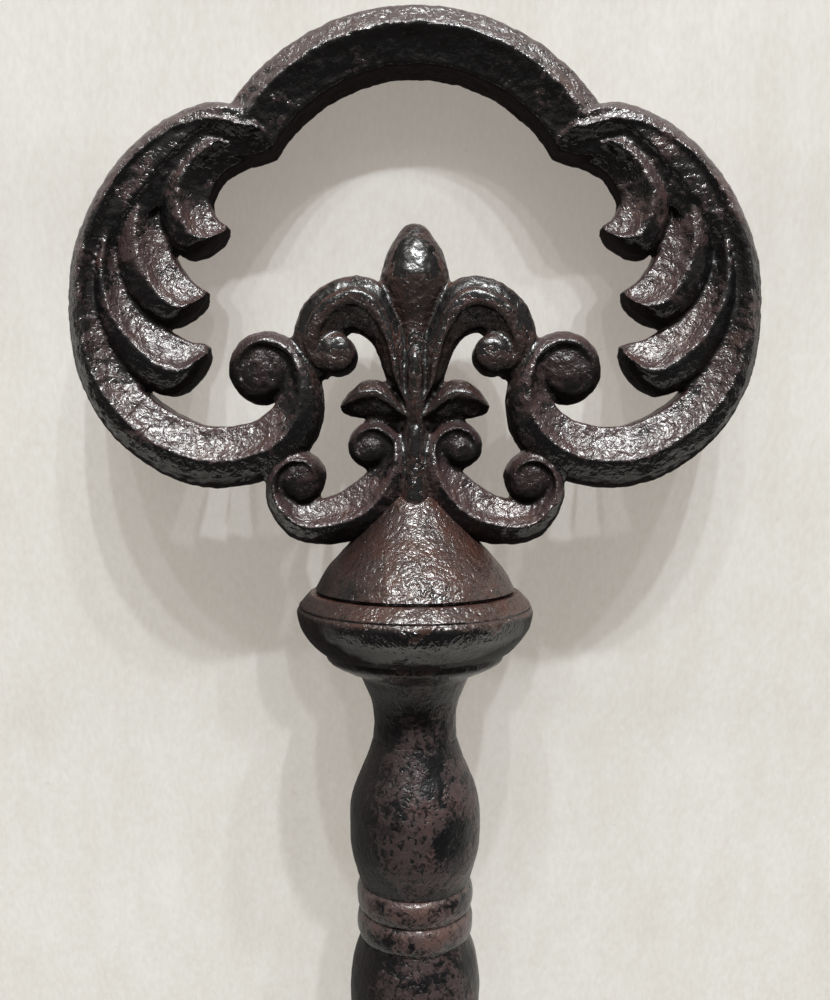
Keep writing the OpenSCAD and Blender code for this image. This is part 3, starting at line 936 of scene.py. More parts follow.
@dataclass
class Lobe:
    """A side lobe: the outer scroll, three leaves, the shoulder they grow from, and the volute's disc and knob."""

    width: float = 11.6
    disc: Eye = Eye(-28.8, -55.2, 5.5, 5.3)
    knob: Eye = Eye(-29.0, -55.8, 4.4, 5.6)
    band: Section = Section(lip=0.55, hollow=0.12)
    dish: Section = Section(wall=0.36, crest_at=-0.08, lip=0.42, hollow=0.14)
    outer: tuple[Stop, ...] = (
        (-26, -12.1, 0.5), (-31, -12.1, 0.74), (-36.5, -11, 0.86), (-43.2, -12.7, 0.74), (-50.3, -17.5, 0.64),
        (-56.3, -25.4, 0.6), (-60, -34.6, 0.59), (-60.6, -44.4, 0.62), (-58.8, -54.3, 0.73), (-53.5, -62.9, 0.88),
        (-45.4, -68.9, 0.98), (-37.4, -71.1, 1), (-28.8, -69.7, 0.96), (-23, -65.1, 0.86), (-21.2, -58.8, 0.67),
        (-22.6, -53.1, 0.5), (-26.2, -50.5, 0.465), (-29.7, -50.8, 0.465), (-32.0, -53.4, 0.45),
        (-31.8, -56.8, 0.43), (-28.9, -59.0, 0.41), (-26.0, -57.4, 0.38), (-26.3, -55.1, 0.34), (-27.5, -54.5, 0.3),
    )
    lower: tuple[Span, ...] = (
        (-55.7, -22.3, -51.7, -24.2, 0.6), (-57.9, -27.5, -53.2, -29.0, 0.7), (-59.3, -33.2, -53.9, -34.1, 0.8),
        (-59.8, -39.2, -53.2, -38.9, 0.9), (-58.9, -45.2, -51.2, -42.9, 0.95), (-56.7, -50.6, -48.3, -45.9, 0.95),
        (-53.6, -55.3, -45.3, -47.7, 0.95), (-49.8, -58.4, -43.3, -48.9, 0.95), (-45.7, -59.7, -41.4, -49.6, 0.92),
        (-42.3, -58.0, -40.1, -49.8, 0.88), (-39.9, -55.3, -39.2, -49.9, 0.76), (-38.7, -52.7, -38.5, -50.3, 0.5),
    )
    middle: tuple[Span, ...] = (
        (-46.0, -15.5, -41.2, -20.2, 0.8), (-50.3, -18.2, -45.7, -22.8, 0.75),
        (-53.0, -22.6, -46.1, -26.4, 0.75), (-54.6, -27.9, -45.8, -30.5, 0.85),
        (-55.1, -33.2, -44.9, -33.4, 0.92), (-54.2, -38.1, -43.7, -35.6, 0.95), (-52.2, -42.2, -42.2, -37.6, 0.95),
        (-49.2, -45.4, -40.9, -38.8, 0.95), (-45.9, -46.8, -39.8, -39.6, 0.92), (-42.7, -45.6, -39.2, -39.9, 0.84),
        (-40.2, -43.5, -38.8, -40.1, 0.66), (-39.0, -41.5, -38.7, -40.4, 0.4),
    )
    upper: tuple[Span, ...] = (
        (-41.5, -12.9, -27.6, -15.2, 0.9), (-43.8, -15.6, -31.8, -17.1, 0.9), (-45.6, -18.9, -35.4, -19.2, 0.92),
        (-46.8, -23.0, -37.5, -22.4, 0.95), (-46.8, -27.1, -37.9, -24.4, 0.95), (-45.5, -31.3, -37.3, -26.0, 0.95),
        (-43.3, -33.9, -36.3, -27.3, 0.9), (-40.0, -33.7, -35.4, -27.8, 0.8), (-37.2, -32.0, -34.8, -28.1, 0.66),
        (-35.0, -29.6, -34.5, -28.2, 0.4),
    )
    shoulder: tuple[Span, ...] = (
        (-31.5, -7.5, -29.6, -10.8, 0.93), (-36.5, -6.6, -33.6, -12.2, 0.96), (-43.0, -8.3, -37.4, -14.4, 0.96),
        (-49.5, -12.8, -41.2, -18.8, 0.95), (-54.6, -18.8, -46.4, -24.6, 0.9), (-58.3, -26.0, -51.5, -29.5, 0.8),
        (-60.6, -34.0, -57.5, -35.0, 0.55),
    )
    plump: Section = Section(wall=0.5, crest_at=-0.05, lip=0.72, hollow=-0.03, round=0.2)

    def build(self) -> list[bpy.types.Object]:
        """Extrude the band, the leaves and their shoulder, and turn the volute's disc and knob.

        Returns:
            The pieces of the left lobe.
        """
        leaves = (("lower leaf", self.lower), ("middle leaf", self.middle), ("upper leaf", self.upper))
        pieces = [Blade(name, edges, self.dish).build() for name, edges in leaves]
        pieces.append(Blade("shoulder", self.shoulder, self.plump).build())
        band = Scroll("outer scroll", self.outer, self.width, self.band).build()
        return [band, *pieces, self.disc.build(), self.knob.build()]


@dataclass
class Petal:
    """A petal of the fleur, from its foot on the stem out and down to its own eye."""

    eye: Eye = Eye(-14.6, -52.0, 3.8, 5.9)
    section: Section = Section(wall=0.3, crest_at=-0.05, lip=0.52, hollow=-0.04, round=0.12, bevel=BROAD)
    edges: tuple[Span, ...] = (
        (-0.6, -63.9, -1.4, -62.8, 0.8), (-1.2, -60.6, -3.2, -59.3, 0.9), (-1.4, -57.3, -5.4, -56.5, 0.95),
        (-1.4, -53.7, -6.6, -53.0, 0.97), (-1.9, -49.7, -7.7, -50.4, 0.97), (-2.8, -45.7, -8.9, -48.9, 0.97),
        (-4.3, -41.7, -10.3, -47.9, 1.0), (-7.0, -38.5, -11.6, -47.5, 1.0), (-11.0, -37.4, -12.5, -47.6, 1.0),
        (-15.5, -38.5, -13.3, -48.3, 1.0), (-19.2, -40.9, -14.1, -49.4, 0.97), (-21.6, -44.3, -14.4, -50.5, 0.93),
        (-22.8, -48.4, -14.6, -51.5, 0.88), (-22.3, -52.4, -14.7, -52.2, 0.82), (-19.6, -55.6, -14.7, -52.7, 0.75),
        (-16.8, -56.5, -14.3, -52.7, 0.7),
    )

    def build(self) -> list[bpy.types.Object]:
        """Extrude the petal and turn its eye."""
        return [Blade("petal", self.edges, self.section).build(), self.eye.build()]


@dataclass
class Sepal:
    """The half-moon leaf under a petal."""

    section: Section = Section(wall=0.3, crest_at=-0.12, lip=0.4, hollow=0.0, round=0.08)
    edges: tuple[Span, ...] = (
        (-1.0, -63.1, -0.8, -65.4, 0.8), (-2.7, -60.8, -2.7, -65.4, 0.9), (-4.7, -58.1, -5.0, -64.9, 0.95),
        (-7.0, -56.5, -7.6, -64.1, 0.95), (-9.8, -56.9, -9.7, -63.9, 0.92), (-12.0, -58.5, -11.4, -63.6, 0.85),
        (-13.4, -60.2, -12.9, -63.2, 0.7), (-14.1, -61.6, -13.8, -62.7, 0.5),
    )

    def build(self) -> list[bpy.types.Object]:
        """Extrude the leaf."""
        return [Blade("sepal", self.edges, self.section).build()]


@dataclass
class BaseScroll:
    """The double scroll under a lobe."""

    width: float = 9.5
    disc: Eye = Eye(-7.8, -69.0, 4.0, 4.7)
    inner: Eye = Eye(-8.3, -70.0, 2.7, 5.4)
    outer: Eye = Eye(-21.2, -75.7, 3.9, 5.3)
    section: Section = Section(lip=0.5, hollow=0.14)
    route: tuple[Stop, ...] = (
        (-21.5, -76.0, 0.3), (-20.0, -76.8, 0.34), (-18.7, -74.9, 0.39), (-20.0, -72.5, 0.43), (-22.8, -72.1, 0.44),
        (-25.0, -73.7, 0.45), (-25.8, -76.2, 0.48), (-24.9, -79.6, 0.6), (-20.8, -83.1, 0.82),
        (-14.2, -82.7, 0.98), (-8.6, -79.9, 1.06), (-4.7, -74.6, 0.82), (-3.9, -69.2, 0.44), (-5.7, -66.8, 0.4),
        (-8.2, -66.1, 0.39), (-10.4, -67.4, 0.38), (-10.8, -69.9, 0.37), (-8.9, -71.6, 0.35), (-7.0, -70.5, 0.31),
        (-7.4, -69.2, 0.27),
    )

    def build(self) -> list[bpy.types.Object]:
        """Extrude the scroll and turn its eyes."""
        band = Scroll("base scroll", self.route, self.width, self.section).build()
        return [band, self.disc.build(), self.inner.build(), self.outer.build()]


@dataclass
class FleurBud:
    """The egg-shaped bud on its stem, with a seed-shaped ridge and a lower ridge on the stem's front and back."""

    radius: float = 6.7
    length: float = 26
    top: float = -27.3
    stem_width: float = 5
    stem_depth: float = 9.6
    stem_foot: float = -79.6
    ridge_out: float = 5.0
    seed_top: float = -50.9
    seed: tuple[Knot, ...] = (
        (0, 0), (0.75, 1.0), (1.3, 2.6), (1.45, 5), (1.4, 8.5), (1.1, 11.5), (0.5, 13.3), (0, 13.9),
    )
    lower_top: float = -64.6
    lower_out: float = 4.2
    lower: tuple[Knot, ...] = ((0, 0), (1.2, 1.2), (1.7, 4), (1.9, 8), (2.2, 11.5), (2.5, 15.6), (0, 15.7))
    outline: tuple[Knot, ...] = (
        (0, 0), (0.3, 0.03), (0.52, 0.1), (0.74, 0.19), (0.89, 0.29), (1, 0.42), (0.9, 0.57), (0.68, 0.74),
        (0.4, 0.9), (0, 1),
    )
    round: int = 48
    ridge_round: int = 24

    def reach(self, z: np.ndarray) -> np.ndarray:
        """Work out the bud's radius.

        Args:
            z: Heights, in millimetres.

        Returns:
            The radius at each height, 0 above and below the bud.
        """
        share = [k[0] for k in self.outline]
        depth = [k[1] for k in self.outline]
        return self.radius * np.interp((self.top - z) / self.length, depth, share, 0, 0)

    def build(self) -> list[bpy.types.Object]:
        """Turn the bud, extrude the stem and turn its ridges.

        Returns:
            The bud, the stem and four ridges.
        """
        points = [
            Vector((x * self.radius, 0, self.top - y * self.length)) * MM
            for x, y in smooth(self.outline, 4)
        ]
        bud = Bench.turn("bud", points, Vector((0, 0, 0)), UP, self.round)
        w, d = self.stem_width / 2, self.stem_depth / 2
        # The stem has eight sides.
        half = [(-w, 0), (-w, -0.66 * d), (-0.5 * w, -d), (0.5 * w, -d), (w, -0.66 * d), (w, 0)]
        ring = half + [(x, -y) for x, y in half[-2:0:-1]]
        foot = [Vector((x, y, self.stem_foot)) * MM for x, y in ring]
        Bench.line("stem", foot + foot[:1])
        Bench.face()
        height = self.top - self.length / 2 - self.stem_foot
        bpy.ops.mesh.extrude_region_move(TRANSFORM_OT_translate={"value": (0, 0, height * MM)})
        stem = Bench.outward()
        ridges = []
        for side in (-1, 1):
            ridges.append(self.ridge(self.seed_top, self.seed, side * self.ridge_out))
            ridges.append(self.ridge(self.lower_top, self.lower, side * self.lower_out))
        return [bud, stem, *ridges]

    def ridge(self, top: float, outline: Sequence[Knot], y: float) -> bpy.types.Object:
        """Turn a slender ridge that stands out of the stem.

        Args:
            top: Height of its tip.
            outline: Its radii and depths below the tip.
            y: Place of its axis through the key.

        Returns:
            The ridge.
        """
        points = [Vector((r, y, top - d)) * MM for r, d in smooth(outline, 3)]
        points = [Vector((max(p.x, 0), p.y, p.z)) for p in points]
        return Bench.turn("ridge", points, Vector((0, y, 0)) * MM, UP, self.ridge_round)


@dataclass(frozen=True)
class Lumps:
    """Lumps pressed into a skin by its rough sand mould.

    Attributes:
        size: Their width.
        height: From the lowest to the highest.
        level: Share of the height that is cut into the drawn shape.
    """

    size: float
    height: float
    level: float = 0.5

    def press(self, piece: bpy.types.Object) -> None:
        """Displace the piece.

        Args:
            piece: The piece.
        """
        texture = bpy.data.textures.new("sand", "CLOUDS")
        texture.noise_scale = self.size * MM
        texture.noise_depth = 2
        Bench.apply(
            piece, "DISPLACE", texture=texture, texture_coords="LOCAL", strength=self.height * MM,
            mid_level=self.level,
        )


@dataclass
class Bow:
    """The whole bow, poured as one skin and parted where its castings meet.

    Attributes:
        arch: The top band.
        lobe: The left lobe.
        petal: The left petal.
        sepal: The left sepal.
        base: The left base scroll.
        bud: The bud and its stem.
        cell: Fineness of the skin.
        quick_cell: The same for a quick build; not used.
        shrink: Share by which the skin is narrowed, to stay within the solids.
        lumps: Lumps of the sand mould.
        arch_to_lobe: Joint of the arch and a lobe.
        lobe_to_petal: Joint of a lobe and a petal.
        lobe_to_base: Joint of a lobe and a base scroll.
        lap: How far the drawn pieces pass the arch's joints.
        block_reach: Half the width of the block of leaf roots on the stem.
        block_top: Its top.
        block_foot: Its foot, which is also where the base scrolls begin.
        sepal_out: How far the sepals reach from the middle.
        sepal_top: Top of the sepals at the block.
        sepal_slope: Fall of the line between petal and sepal.
        petal_top: Height below which the petals may lie.
    """

    arch: Arch = field(default_factory=Arch)
    lobe: Lobe = field(default_factory=Lobe)
    petal: Petal = field(default_factory=Petal)
    sepal: Sepal = field(default_factory=Sepal)
    base: BaseScroll = field(default_factory=BaseScroll)
    bud: FleurBud = field(default_factory=FleurBud)
    cell: float = 0.38
    quick_cell: float = 0.7
    shrink: float = 0.998
    lumps: tuple[Lumps, ...] = (Lumps(2.8, 0.38, 0.68), Lumps(1.3, 0.24, 0.62))
    arch_to_lobe: Cut = Cut(-30, -10.3, 225)
    lobe_to_petal: Cut = Cut(-21.6, -52.3, 27.7)
    lobe_to_base: Cut = Cut(-24.4, -71.9, -63.4)
    lap: float = 0.5
    block_reach: float = 7.2
    block_top: float = -53.0
    block_foot: float = -64.7
    sepal_out: float = 15.2
    sepal_top: float = -55.6
    sepal_slope: float = 0.25
    petal_top: float = -36

    def pour(self) -> bpy.types.Object:
        """Build the pieces of the left side, copy them to the right and cast all in one skin.

        Returns:
            The skin of the bow.
        """
        left = [piece for part in (self.lobe, self.petal, self.sepal, self.base) for piece in part.build()]
        arch = self.arch.build()
        cut = self.arch_to_lobe
        for piece in left:
            Bench.trim(piece, cut.point(-self.lap), -cut.normal())
        for side in (1, -1):
            flip = Vector((side, 1, 1))
            Bench.trim(arch, cut.point(self.lap) * flip, cut.normal() * flip)
        half = Bench.join("half bow", left)
        whole = Bench.join("bow", [half, Bench.mirror(half), arch, *self.bud.build()])
        cell = self.cell
        Bench.apply(whole, "REMESH", mode="VOXEL", voxel_size=cell * MM)
        Bench.apply(whole, "SMOOTH", factor=0.5, iterations=2)
        Bench.pick(whole)
        Bench.edit()
        bpy.ops.transform.resize(value=(self.shrink, 1, 1), center_override=(0, 0, 0))
        return Bench.done()

    def roughen(self, whole: bpy.types.Object) -> None:
        """Give the skin the lumps of sand casting."""
        for lumps in self.lumps:
            lumps.press(whole)

    def part(self, whole: bpy.types.Object) -> dict[str, bpy.types.Object]:
        """Part the skin along the joints, and close each piece.

        Args:
            whole: The skin.

        Returns:
            The pieces by the names of their nodes.
        """
        pieces = {}
        for name in (
            "left_lobe", "right_lobe", "left_base_scroll", "right_base_scroll", "left_petal", "right_petal",
            "left_sepal", "right_sepal", "fleur_bud",
        ):
            mask = self.owner(whole) == name
            Bench.pick(whole)
            Bench.edit("FACE", "DESELECT")
            Bench.done()
            whole.data.polygons.foreach_set("select", mask)
            bpy.ops.object.mode_set(mode="EDIT")
            bpy.ops.mesh.separate(type="SELECTED")
            Bench.done()
            pieces[name] = next(o for o in bpy.context.selected_objects if o != whole)
        pieces["arch"] = whole
        for name, piece in pieces.items():
            pieces[name] = piece = Bench.brush(piece)
            Bench.cap(piece)
            Bench.sound(piece)
            Bench.rounded(piece)
            piece.name = name + "_casting"
        return pieces

    def owner(self, whole: bpy.types.Object) -> np.ndarray:
        """Name the piece that each face of the skin belongs to.

        Args:
            whole: The skin, or what is left of it.

        Returns:
            One node name a face.
        """
        faces = whole.data.polygons
        centres = np.empty(len(faces) * 3, np.float32)
        faces.foreach_get("center", centres)
        centres = centres.reshape(-1, 3) / MM
        side = np.where(centres[:, 0] < 0, "left", "right")
        x, z = -np.abs(centres[:, 0]), centres[:, 2]
        lobe_side = self.arch_to_lobe.ahead(x, z)
        stem = (-x < self.stem_reach(z)) & (z < self.bud.top + 1)
        foot = self.block_foot
        slope = self.sepal_top + self.sepal_slope * (x + self.block_reach)
        sepal = (z < slope) & (z > foot) & (-x < self.sepal_out)
        kind = np.select(
            [
                ~lobe_side & (z > self.arch.foot),
                stem,
                sepal,
                (z > foot) & (z < self.petal_top) & self.lobe_to_petal.ahead(x, z),
                (z <= foot) & self.lobe_to_base.ahead(x, z),
            ],
            ["arch", "fleur_bud", "sepal", "petal", "base_scroll"],
            "lobe",
        )
        single = (kind == "arch") | (kind == "fleur_bud")
        return np.where(single, kind, np.char.add(np.char.add(side, "_"), kind))

    def stem_reach(self, z: np.ndarray) -> np.ndarray:
        """Work out half the width of the middle casting: the bud, the stem or the block of the leaf roots.

        Args:
            z: Heights, in millimetres.

        Returns:
            The half width at each height.
        """
        bar = np.where(z < self.bud.top - self.bud.length / 2, self.bud.stem_width / 2, 0)
        bar = np.where((z < self.block_top) & (z > self.block_foot), self.block_reach, bar)
        return np.maximum(self.bud.reach(z), bar)

    def build(self) -> dict[str, bpy.types.Object]:
        """Pour, roughen and part the bow.

        Returns:
            The pieces by the names of their nodes.
        """
        whole = self.pour()
        self.roughen(whole)
        return self.part(whole)

    def dress(self, pieces: dict[str, bpy.types.Object]) -> None:
        """Paint the pieces.

        Args:
            pieces: The pieces by the names of their nodes.
        """
        for name, piece in pieces.items():
            broad = name == "arch" or name.endswith(("lobe", "base_scroll"))
            dress(piece, Finish.LOBE if broad else Finish.SCROLL, "black_iron", name)


@dataclass
class Turning:
    """A turned piece of the stem.

    Attributes:
        node: The solid that it stands for.
        top: Height of its top.
        runs: Its outline, [radius, depth below its top], in runs that meet at corners.
        finish: Its finish.
        slot: The record's material slot.
        lumps: Lumps of the sand mould.
        steps: Steps between each two points of the outline.
        round: Steps round.
        quick_round: The same for a quick build; not used.
        crease: Angle above which an edge stays sharp, in degrees.
    """

    node: str
    top: float
    runs: tuple[tuple[Knot, ...], ...]
    finish: Finish = Finish.TURNED
    slot: str = "black_iron"
    lumps: tuple[Lumps, ...] = (Lumps(2.8, 0.22, 0.7), Lumps(1.4, 0.08, 0.6))
    steps: int = 5
    round: int = 160
    quick_round: int = 64
    crease: float = 42

    def build(self) -> bpy.types.Object:
        """Spin the outline about the key's axis.

        Returns:
            The turned piece.
        """
        line: list[Knot] = [(0.0, self.runs[0][0][1])]
        for run in self.runs:
            line += [q for q in smooth(run, self.steps) if q != line[-1]]
        line.append((0.0, self.runs[-1][-1][1]))
        points = [Vector((max(r, 0), 0, self.top - d)) * MM for r, d in line]
        steps = self.round
        piece = Bench.turn(self.node + "_casting", points, Vector((0, 0, 0)), UP, steps)
        for lumps in self.lumps:
            lumps.press(piece)
        Bench.rounded(piece, self.crease)
        return piece

    def dress(self, piece: bpy.types.Object) -> None:
        """Paint the piece."""
        dress(piece, self.finish, self.slot, self.node)


@dataclass
class Stem:
    """The turned pieces from the collar down to the tip."""

    neck: float = 7.9
    shank: float = 7.5
    bead: tuple[Knot, ...] = ((10.5, 0), (11.03, 1.06), (11.2, 2.65), (11.03, 4.24), (10.5, 5.3))

    def turnings(self) -> list[Turning]:
        """List the turned pieces.

        Returns:
            The pieces from top to bottom.
        """
        n, s = self.neck, self.shank
        return [
            Turning(
                "collar_cone", -79.6,
                (
                    ((0, -3.0), (3.4, -2.5), (6.0, -0.8), (8.4, 2.4), (11.8, 6.8), (16.7, 12.4), (18.9, 16.3)),
                    ((18.9, 16.3), (18.6, 16.8)),
                ),
                Finish.RUSTY, "rusty_iron",
            ),
            Turning(
                "collar_rim", -96.4,
                (
                    ((19.2, 0.1), (19.6, 0.0), (20.2, 0.35), (21.8, 2.1), (22.0, 2.6)),
                    ((21.95, 2.75), (22.3, 3.3), (22.35, 4.4), (21.6, 6.9), (19.6, 9.7), (17.8, 11.2)),
                ),
                Finish.RUSTY, "rusty_iron",
            ),
            Turning(
                "neck_cup", -107.6,
                (
                    (
                        (16.9, 0), (16.7, 1.55), (14.0, 3.2), (11.05, 4.4), (9.9, 6.2), (8.35, 10), (n, 13.4),
                        (8.06, 17.2),
                    ),
                ),
            ),
            Turning(
                "upper_baluster", -124.8,
                (
                    (
                        (8.06, 0), (9.45, 4.15), (11.3, 8.3), (12.4, 12.4), (12.55, 16.6), (12.4, 20.7),
                        (11.4, 24.8), (10.5, 27.6),
                    ),
                ),
            ),
            Turning("upper_bead_ring", -152.4, (self.bead,), Finish.RING),
            Turning("lower_bead_ring", -157.7, (self.bead,), Finish.RING),
            Turning(
                "lower_baluster", -163.0,
                (
                    (
                        (10.5, 0), (11.1, 2.05), (11.9, 4.5), (12.55, 9), (12.4, 13.9), (11.3, 21.3), (9.5, 28.7),
                        (8.3, 35.3), (n, 41),
                    ),
                ),
            ),
            Turning(
                "shank_stop", -204.0,
                (((8.3, 0), (10.95, 1.8), (10.95, 3.6), (9.35, 5), (10.2, 6.4), (10.2, 8), (8.1, 10)),),
            ),
            Turning("shank_tube", -214.0, (((s, 0), (s, 45), (s, 90), (s, 134.5)),), steps=40, round=96),
            Turning("foot_collar", -348.5, (((8.1, 0), (10.4, 2.1), (10.4, 4.9), (7.7, 7)),)),
            Turning(
                "tip", -355.5,
                (
                    ((7.0, 0), (7.0, 6), (7.0, 11.4)),
                    ((7.0, 11.4), (6.6, 12.6), (5.5, 13.42)),
                    ((5.5, 13.42), (0, 13.42)),
                ),
                steps=12,
            ),
        ]


@dataclass
class Bit:
    """The warded plate and the sleeve that carries it.

    Attributes:
        foot: Height of its lower edge.
        height: Its height.
        reach: How far it stands out from the key's axis.
        thickness: Thickness of the plate.
        sleeve: Radius of the sleeve.
        ward_width: Width of the two slots and of the cross's arms.
        ward_depth: Depth of the slots.
        cross: Span of the cross.
        root: Where the plate begins, inside the sleeve.
        bore: Radius of the sleeve's bore.
        chamfer: Chamfer of the sleeve's rims.
        round: Steps round the sleeve.
        cell: Fineness of the skin.
        quick_cell: The same for a quick build; not used.
        lumps: Lumps of the sand mould.
    """

    foot: float = -340.5
    height: float = 42
    reach: float = 42
    thickness: float = 8
    sleeve: float = 9.85
    ward_width: float = 4.6
    ward_depth: float = 9
    cross: float = 16
    root: float = 7.7
    bore: float = 7.66
    chamfer: float = 0.5
    round: int = 72
    cell: float = 0.42
    quick_cell: float = 0.8
    lumps: tuple[Lumps, ...] = (Lumps(2.8, 0.26, 0.75), Lumps(1.4, 0.12, 0.7))

    def build(self) -> bpy.types.Object:
        """Extrude the plate, cut its cross, turn its sleeve and cast them together.

        Returns:
            The bit.
        """
        z0, out, w = self.foot, self.reach, self.ward_width / 2
        back = out - self.ward_depth
        outline = [(self.root, z0), (out, z0)]
        for share in (0.25, 0.75):
            z = z0 + share * self.height
            outline += [(out, z - w), (back, z - w), (back, z + w), (out, z + w)]
        outline += [(out, z0 + self.height), (self.root, z0 + self.height)]
        plate = self.slab("plate", outline, self.thickness)
        x, z, a = (self.sleeve + back) / 2, z0 + self.height / 2, self.cross / 2
        arms = [
            (-a, -w), (-w, -w), (-w, -a), (w, -a), (w, -w), (a, -w),
            (a, w), (w, w), (w, a), (-w, a), (-w, w), (-a, w),
        ]
        cutter = self.slab("cross", [(x + i, z + k) for i, k in arms], self.thickness * 2)
        Bench.apply(plate, "BOOLEAN", operation="DIFFERENCE", object=cutter, solver="EXACT")
        bpy.data.objects.remove(cutter)
        r, b, c, top = self.sleeve, self.bore, self.chamfer, z0 + self.height
        ring = [(b, z0), (r - c, z0), (r, z0 + c), (r, top - c), (r - c, top), (b, top), (b, z0)]
        points = [Vector((i, 0, k)) * MM for i, k in ring]
        sleeve = Bench.turn("sleeve", points, Vector((0, 0, 0)), UP, self.round)
        whole = Bench.join("bit_casting", [plate, sleeve])
        cell = self.cell
        Bench.apply(whole, "REMESH", mode="VOXEL", voxel_size=cell * MM)
        Bench.apply(whole, "SMOOTH", factor=0.5, iterations=3)
        for lumps in self.lumps:
            lumps.press(whole)
        Bench.rounded(whole)
        return whole

    def slab(self, name: str, outline: Sequence[Knot], thickness: float) -> bpy.types.Object:
        """Extrude an outline to a thickness.

        Args:
            name: Name of the slab.
            outline: Its corners, [x, z].
            thickness: Its thickness.

        Returns:
            The slab.
        """
        points = [Vector((x, -thickness / 2, z)) * MM for x, z in outline]
        Bench.line(name, points + points[:1])
        Bench.face()
        bpy.ops.mesh.extrude_region_move(TRANSFORM_OT_translate={"value": (0, thickness * MM, 0)})
        return Bench.outward()

    def dress(self, piece: bpy.types.Object) -> None:
        """Paint the bit."""
        dress(piece, Finish.TURNED, "black_iron", "bit")


@dataclass(frozen=True)
class Lamp:
    """A small distant lamp.

    Attributes:
        elevation: Degrees above the level.
        bearing: Degrees to the right of the front.
        strength: Its strength.
        spread: Its size in the sky, in degrees.
        tint: Its colour.
    """

    elevation: float
    bearing: float
    strength: float
    spread: float = 1.5
    tint: Colour = (0.95, 0.99, 1.0)

    def hang(self) -> None:
        """Hang the lamp."""
        light = bpy.data.lights.new("lamp", "SUN")
        light.energy, light.angle, light.color = self.strength, math.radians(self.spread), self.tint
        lamp = bpy.data.objects.new("lamp", light)
        e, b = math.radians(self.elevation), math.radians(self.bearing)
        towards = Vector((math.sin(b) * math.cos(e), -math.cos(b) * math.cos(e), math.sin(e)))
        lamp.rotation_euler = towards.to_track_quat("Z", "Y").to_euler()
        bpy.context.scene.collection.objects.link(lamp)


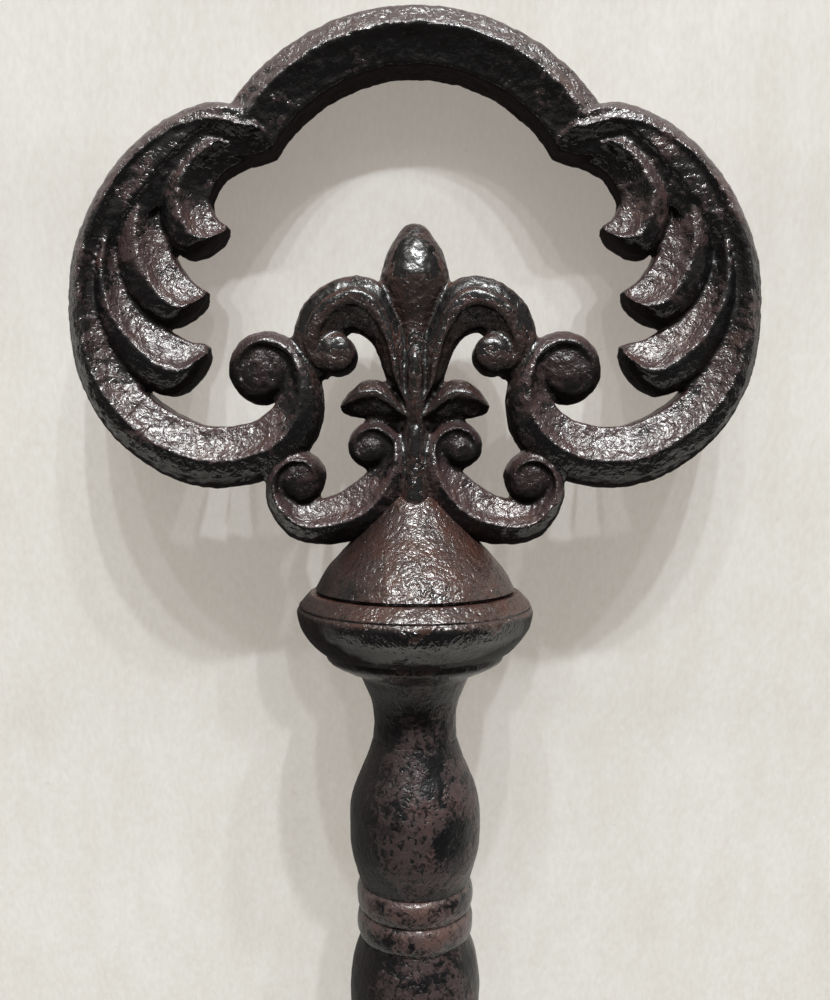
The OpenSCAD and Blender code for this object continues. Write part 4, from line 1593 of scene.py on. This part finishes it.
@dataclass
class Studio:
    """The pale sheet behind and under the key, the lamps and the camera.

    Attributes:
        sheet: The sheet's route, [y, z], on a curve from its third point to the last but one.
        half_width: Half its width.
        lamps: The small lamps.
        camera: The camera's place.
        pitch: How far it looks down, in degrees.
        lens: Its focal length, in millimetres.
        film: Longer side of the film, in millimetres.
        paper: Tone of the sheet's streaks and stains.
        clean: Tone of the clean sheet.
        glow: The sheet's own light, in place of what a white room throws back.
        glow_tint: Its colour.
        backdrop: Brightness of the room where the camera sees it.
        room_tint: Colour of the room's light.
        panel_place: Centre of the ceiling panel, in metres.
        panel_size: Its width and height, in metres.
        panel_watts: Its power.
        panel_tint: Its colour.
        middle: Height that it faces, in metres.
    """

    sheet: tuple[Knot, ...] = (
        (6.95, 900), (6.95, 60), (6.95, 2), (8.0, -16), (12.2, -40), (19.4, -80), (26.8, -117), (31.4, -137),
        (40.5, -180), (57, -260), (70, -330), (84, -420), (92, -600), (92, -880), (84, -960), (50, -1000),
        (0, -1006), (-500, -1006),
    )
    half_width: float = 1500
    lamps: tuple[Lamp, ...] = (Lamp(51, -14, 0.45), Lamp(52, 1, 0.88), Lamp(52, 14, 1.25), Lamp(51, 28, 0.6))
    camera: Place = (0, -170.77, -70.25)
    pitch: float = 3
    lens: float = 32.4
    film: float = 36
    paper: Colour = (0.565, 0.565, 0.535)
    clean: Colour = (0.70, 0.715, 0.70)
    glow: float = 0.28
    glow_tint: Colour = (1, 0.9, 0.8)
    backdrop: float = 0.76
    room_tint: Colour = (1, 0.915, 0.83)
    panel_place: Place = (0.0, -0.9, 1.25)
    panel_size: tuple[float, float] = (1.5, 0.7)
    panel_watts: float = 7.5
    panel_tint: Colour = (1, 0.93, 0.85)
    middle: float = -0.06

    def paint(self) -> bpy.types.Material:
        """Mix the pale paper, which the camera sees through from behind.

        Returns:
            The material.
        """
        r = Recipe("pale paper")
        at = r.millimetres()
        streak = r.noise(r.stretched(at, 0.15), size=9, detail=4, rough=0.6)
        cloth = r.noise(r.stretched(at, 0.4), size=0.9, rough=0.6)
        smudge = r.noise(at, size=30, detail=4, rough=0.65)
        spots = r.noise(at, size=3.2).between(0.74, 0.80)
        height = r.axes(at)[2]
        share = 0.5 + (streak - 0.5) * 1.3 + (cloth - 0.5) * 1.3 + (smudge - 0.5) * 1.1
        tone = r.mix(share.clamped(), self.paper, self.clean)
        # Painted shade: darker towards the top, to even out the lamps' light on the upright part, and darker far
        # below the key, so the iron's undersides mirror a dim room; and a few spots.
        tone = r.mix(height.between(-55, -5) * 0.17, tone, (0.1, 0.1, 0.1))
        tone = r.mix(height.between(-500, -900) * 0.55, tone, (0.3, 0.3, 0.29))
        tone = r.mix(spots * 0.35, tone, (0.4, 0.35, 0.28))
        r.finish(Base_Color=tone, Roughness=0.85, Emission_Color=self.glow_tint, Emission_Strength=self.glow)
        back = r.wire(r.add("NewGeometry").outputs["Backfacing"])
        eye = r.wire(r.add("LightPath").outputs["Is Camera Ray"])
        r.blend(back * eye, r.add("BsdfTransparent").outputs[0])
        return r.material

    def unroll(self) -> None:
        """Unroll the sheet from above the key down behind it and forward on the floor."""
        line = [*self.sheet[:2], *smooth(self.sheet[2:-1], 6), self.sheet[-1]]
        Bench.line("sheet", [Vector((-self.half_width, y, z)) * MM for y, z in line])
        bpy.ops.mesh.select_all(action="SELECT")
        bpy.ops.mesh.extrude_region_move(TRANSFORM_OT_translate={"value": (2 * self.half_width * MM, 0, 0)})
        bpy.ops.mesh.select_all(action="SELECT")
        bpy.ops.mesh.remove_doubles(threshold=1e-6)
        piece = Bench.done()
        if piece.data.polygons[0].normal.y > 0:
            Bench.edit()
            bpy.ops.mesh.flip_normals()
            Bench.done()
        Bench.rounded(piece)
        piece.data.materials.append(self.paint())

    def panel(self) -> None:
        """Hang a soft panel under the ceiling that faces the middle of the bow."""
        light = bpy.data.lights.new("ceiling panel", "AREA")
        light.shape, light.energy, light.color = "RECTANGLE", self.panel_watts, self.panel_tint
        light.size, light.size_y = self.panel_size
        lamp = bpy.data.objects.new("ceiling panel", light)
        lamp.location = self.panel_place
        aim = Vector(self.panel_place) - Vector((0, 0, self.middle))
        lamp.rotation_euler = aim.to_track_quat("Z", "Y").to_euler()
        bpy.context.scene.collection.objects.link(lamp)

    def sky(self) -> None:
        """Fill the room with warm light, bright overhead and dim in front, and show it pale."""
        world = bpy.data.worlds.new("room")
        world.use_nodes = True
        bpy.context.scene.world = world
        n = Nodes(world.node_tree)
        _, away, up = n.axes(n.add("TexCoord").outputs["Generated"])
        path = n.add("LightPath").outputs
        eye, gloss = n.wire(path["Is Camera Ray"]), n.wire(path["Is Glossy Ray"])
        # Dim in front and brighter overhead, but pale for the camera and where the iron mirrors the sheet's side.
        dim = 0.06 + 0.14 * up.between(-0.25, 0.1) + 0.16 * up.between(0.2, 0.8)
        seen = (eye + gloss * away.between(0, 0.3)).clamped()
        shade = n.tree.nodes["Background"].inputs
        n.feed(shade["Color"], self.room_tint)
        n.feed(shade["Strength"], dim + (self.backdrop - dim) * seen)

    def build(self) -> None:
        """Set up the stage, the light and the camera."""
        self.unroll()
        self.sky()
        for lamp in self.lamps:
            lamp.hang()
        self.panel()
        data = bpy.data.cameras.new("camera")
        data.lens, data.sensor_width, data.sensor_fit = self.lens, self.film, "AUTO"
        camera = bpy.data.objects.new("camera", data)
        camera.location = Vector(self.camera) * MM
        camera.rotation_euler = (math.radians(90 - self.pitch), 0, 0)
        bpy.context.scene.collection.objects.link(camera)
        bpy.context.scene.camera = camera
        bpy.context.scene.view_settings.view_transform = "Standard"


def main() -> None:
    """Build the key on its frame."""
    logging.basicConfig(level=logging.INFO, format="%(name)s %(message)s")
    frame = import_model()
    for name in ("bow_dowels", "bit_pins", "tie_rod", "rod_washer", "rod_nut"):
        node = frame["nodes"][name]
        node.data.materials.clear()
        node.data.materials.append(Finish.STEEL.material())
        log.info("%s: kept", name)
    bow = Bow()
    bow.dress(bow.build())
    for turning in Stem().turnings():
        turning.dress(turning.build())
    bit = Bit()
    bit.dress(bit.build())
    Studio().build()
    Bench.clear()


if __name__ == "__main__":
    main()
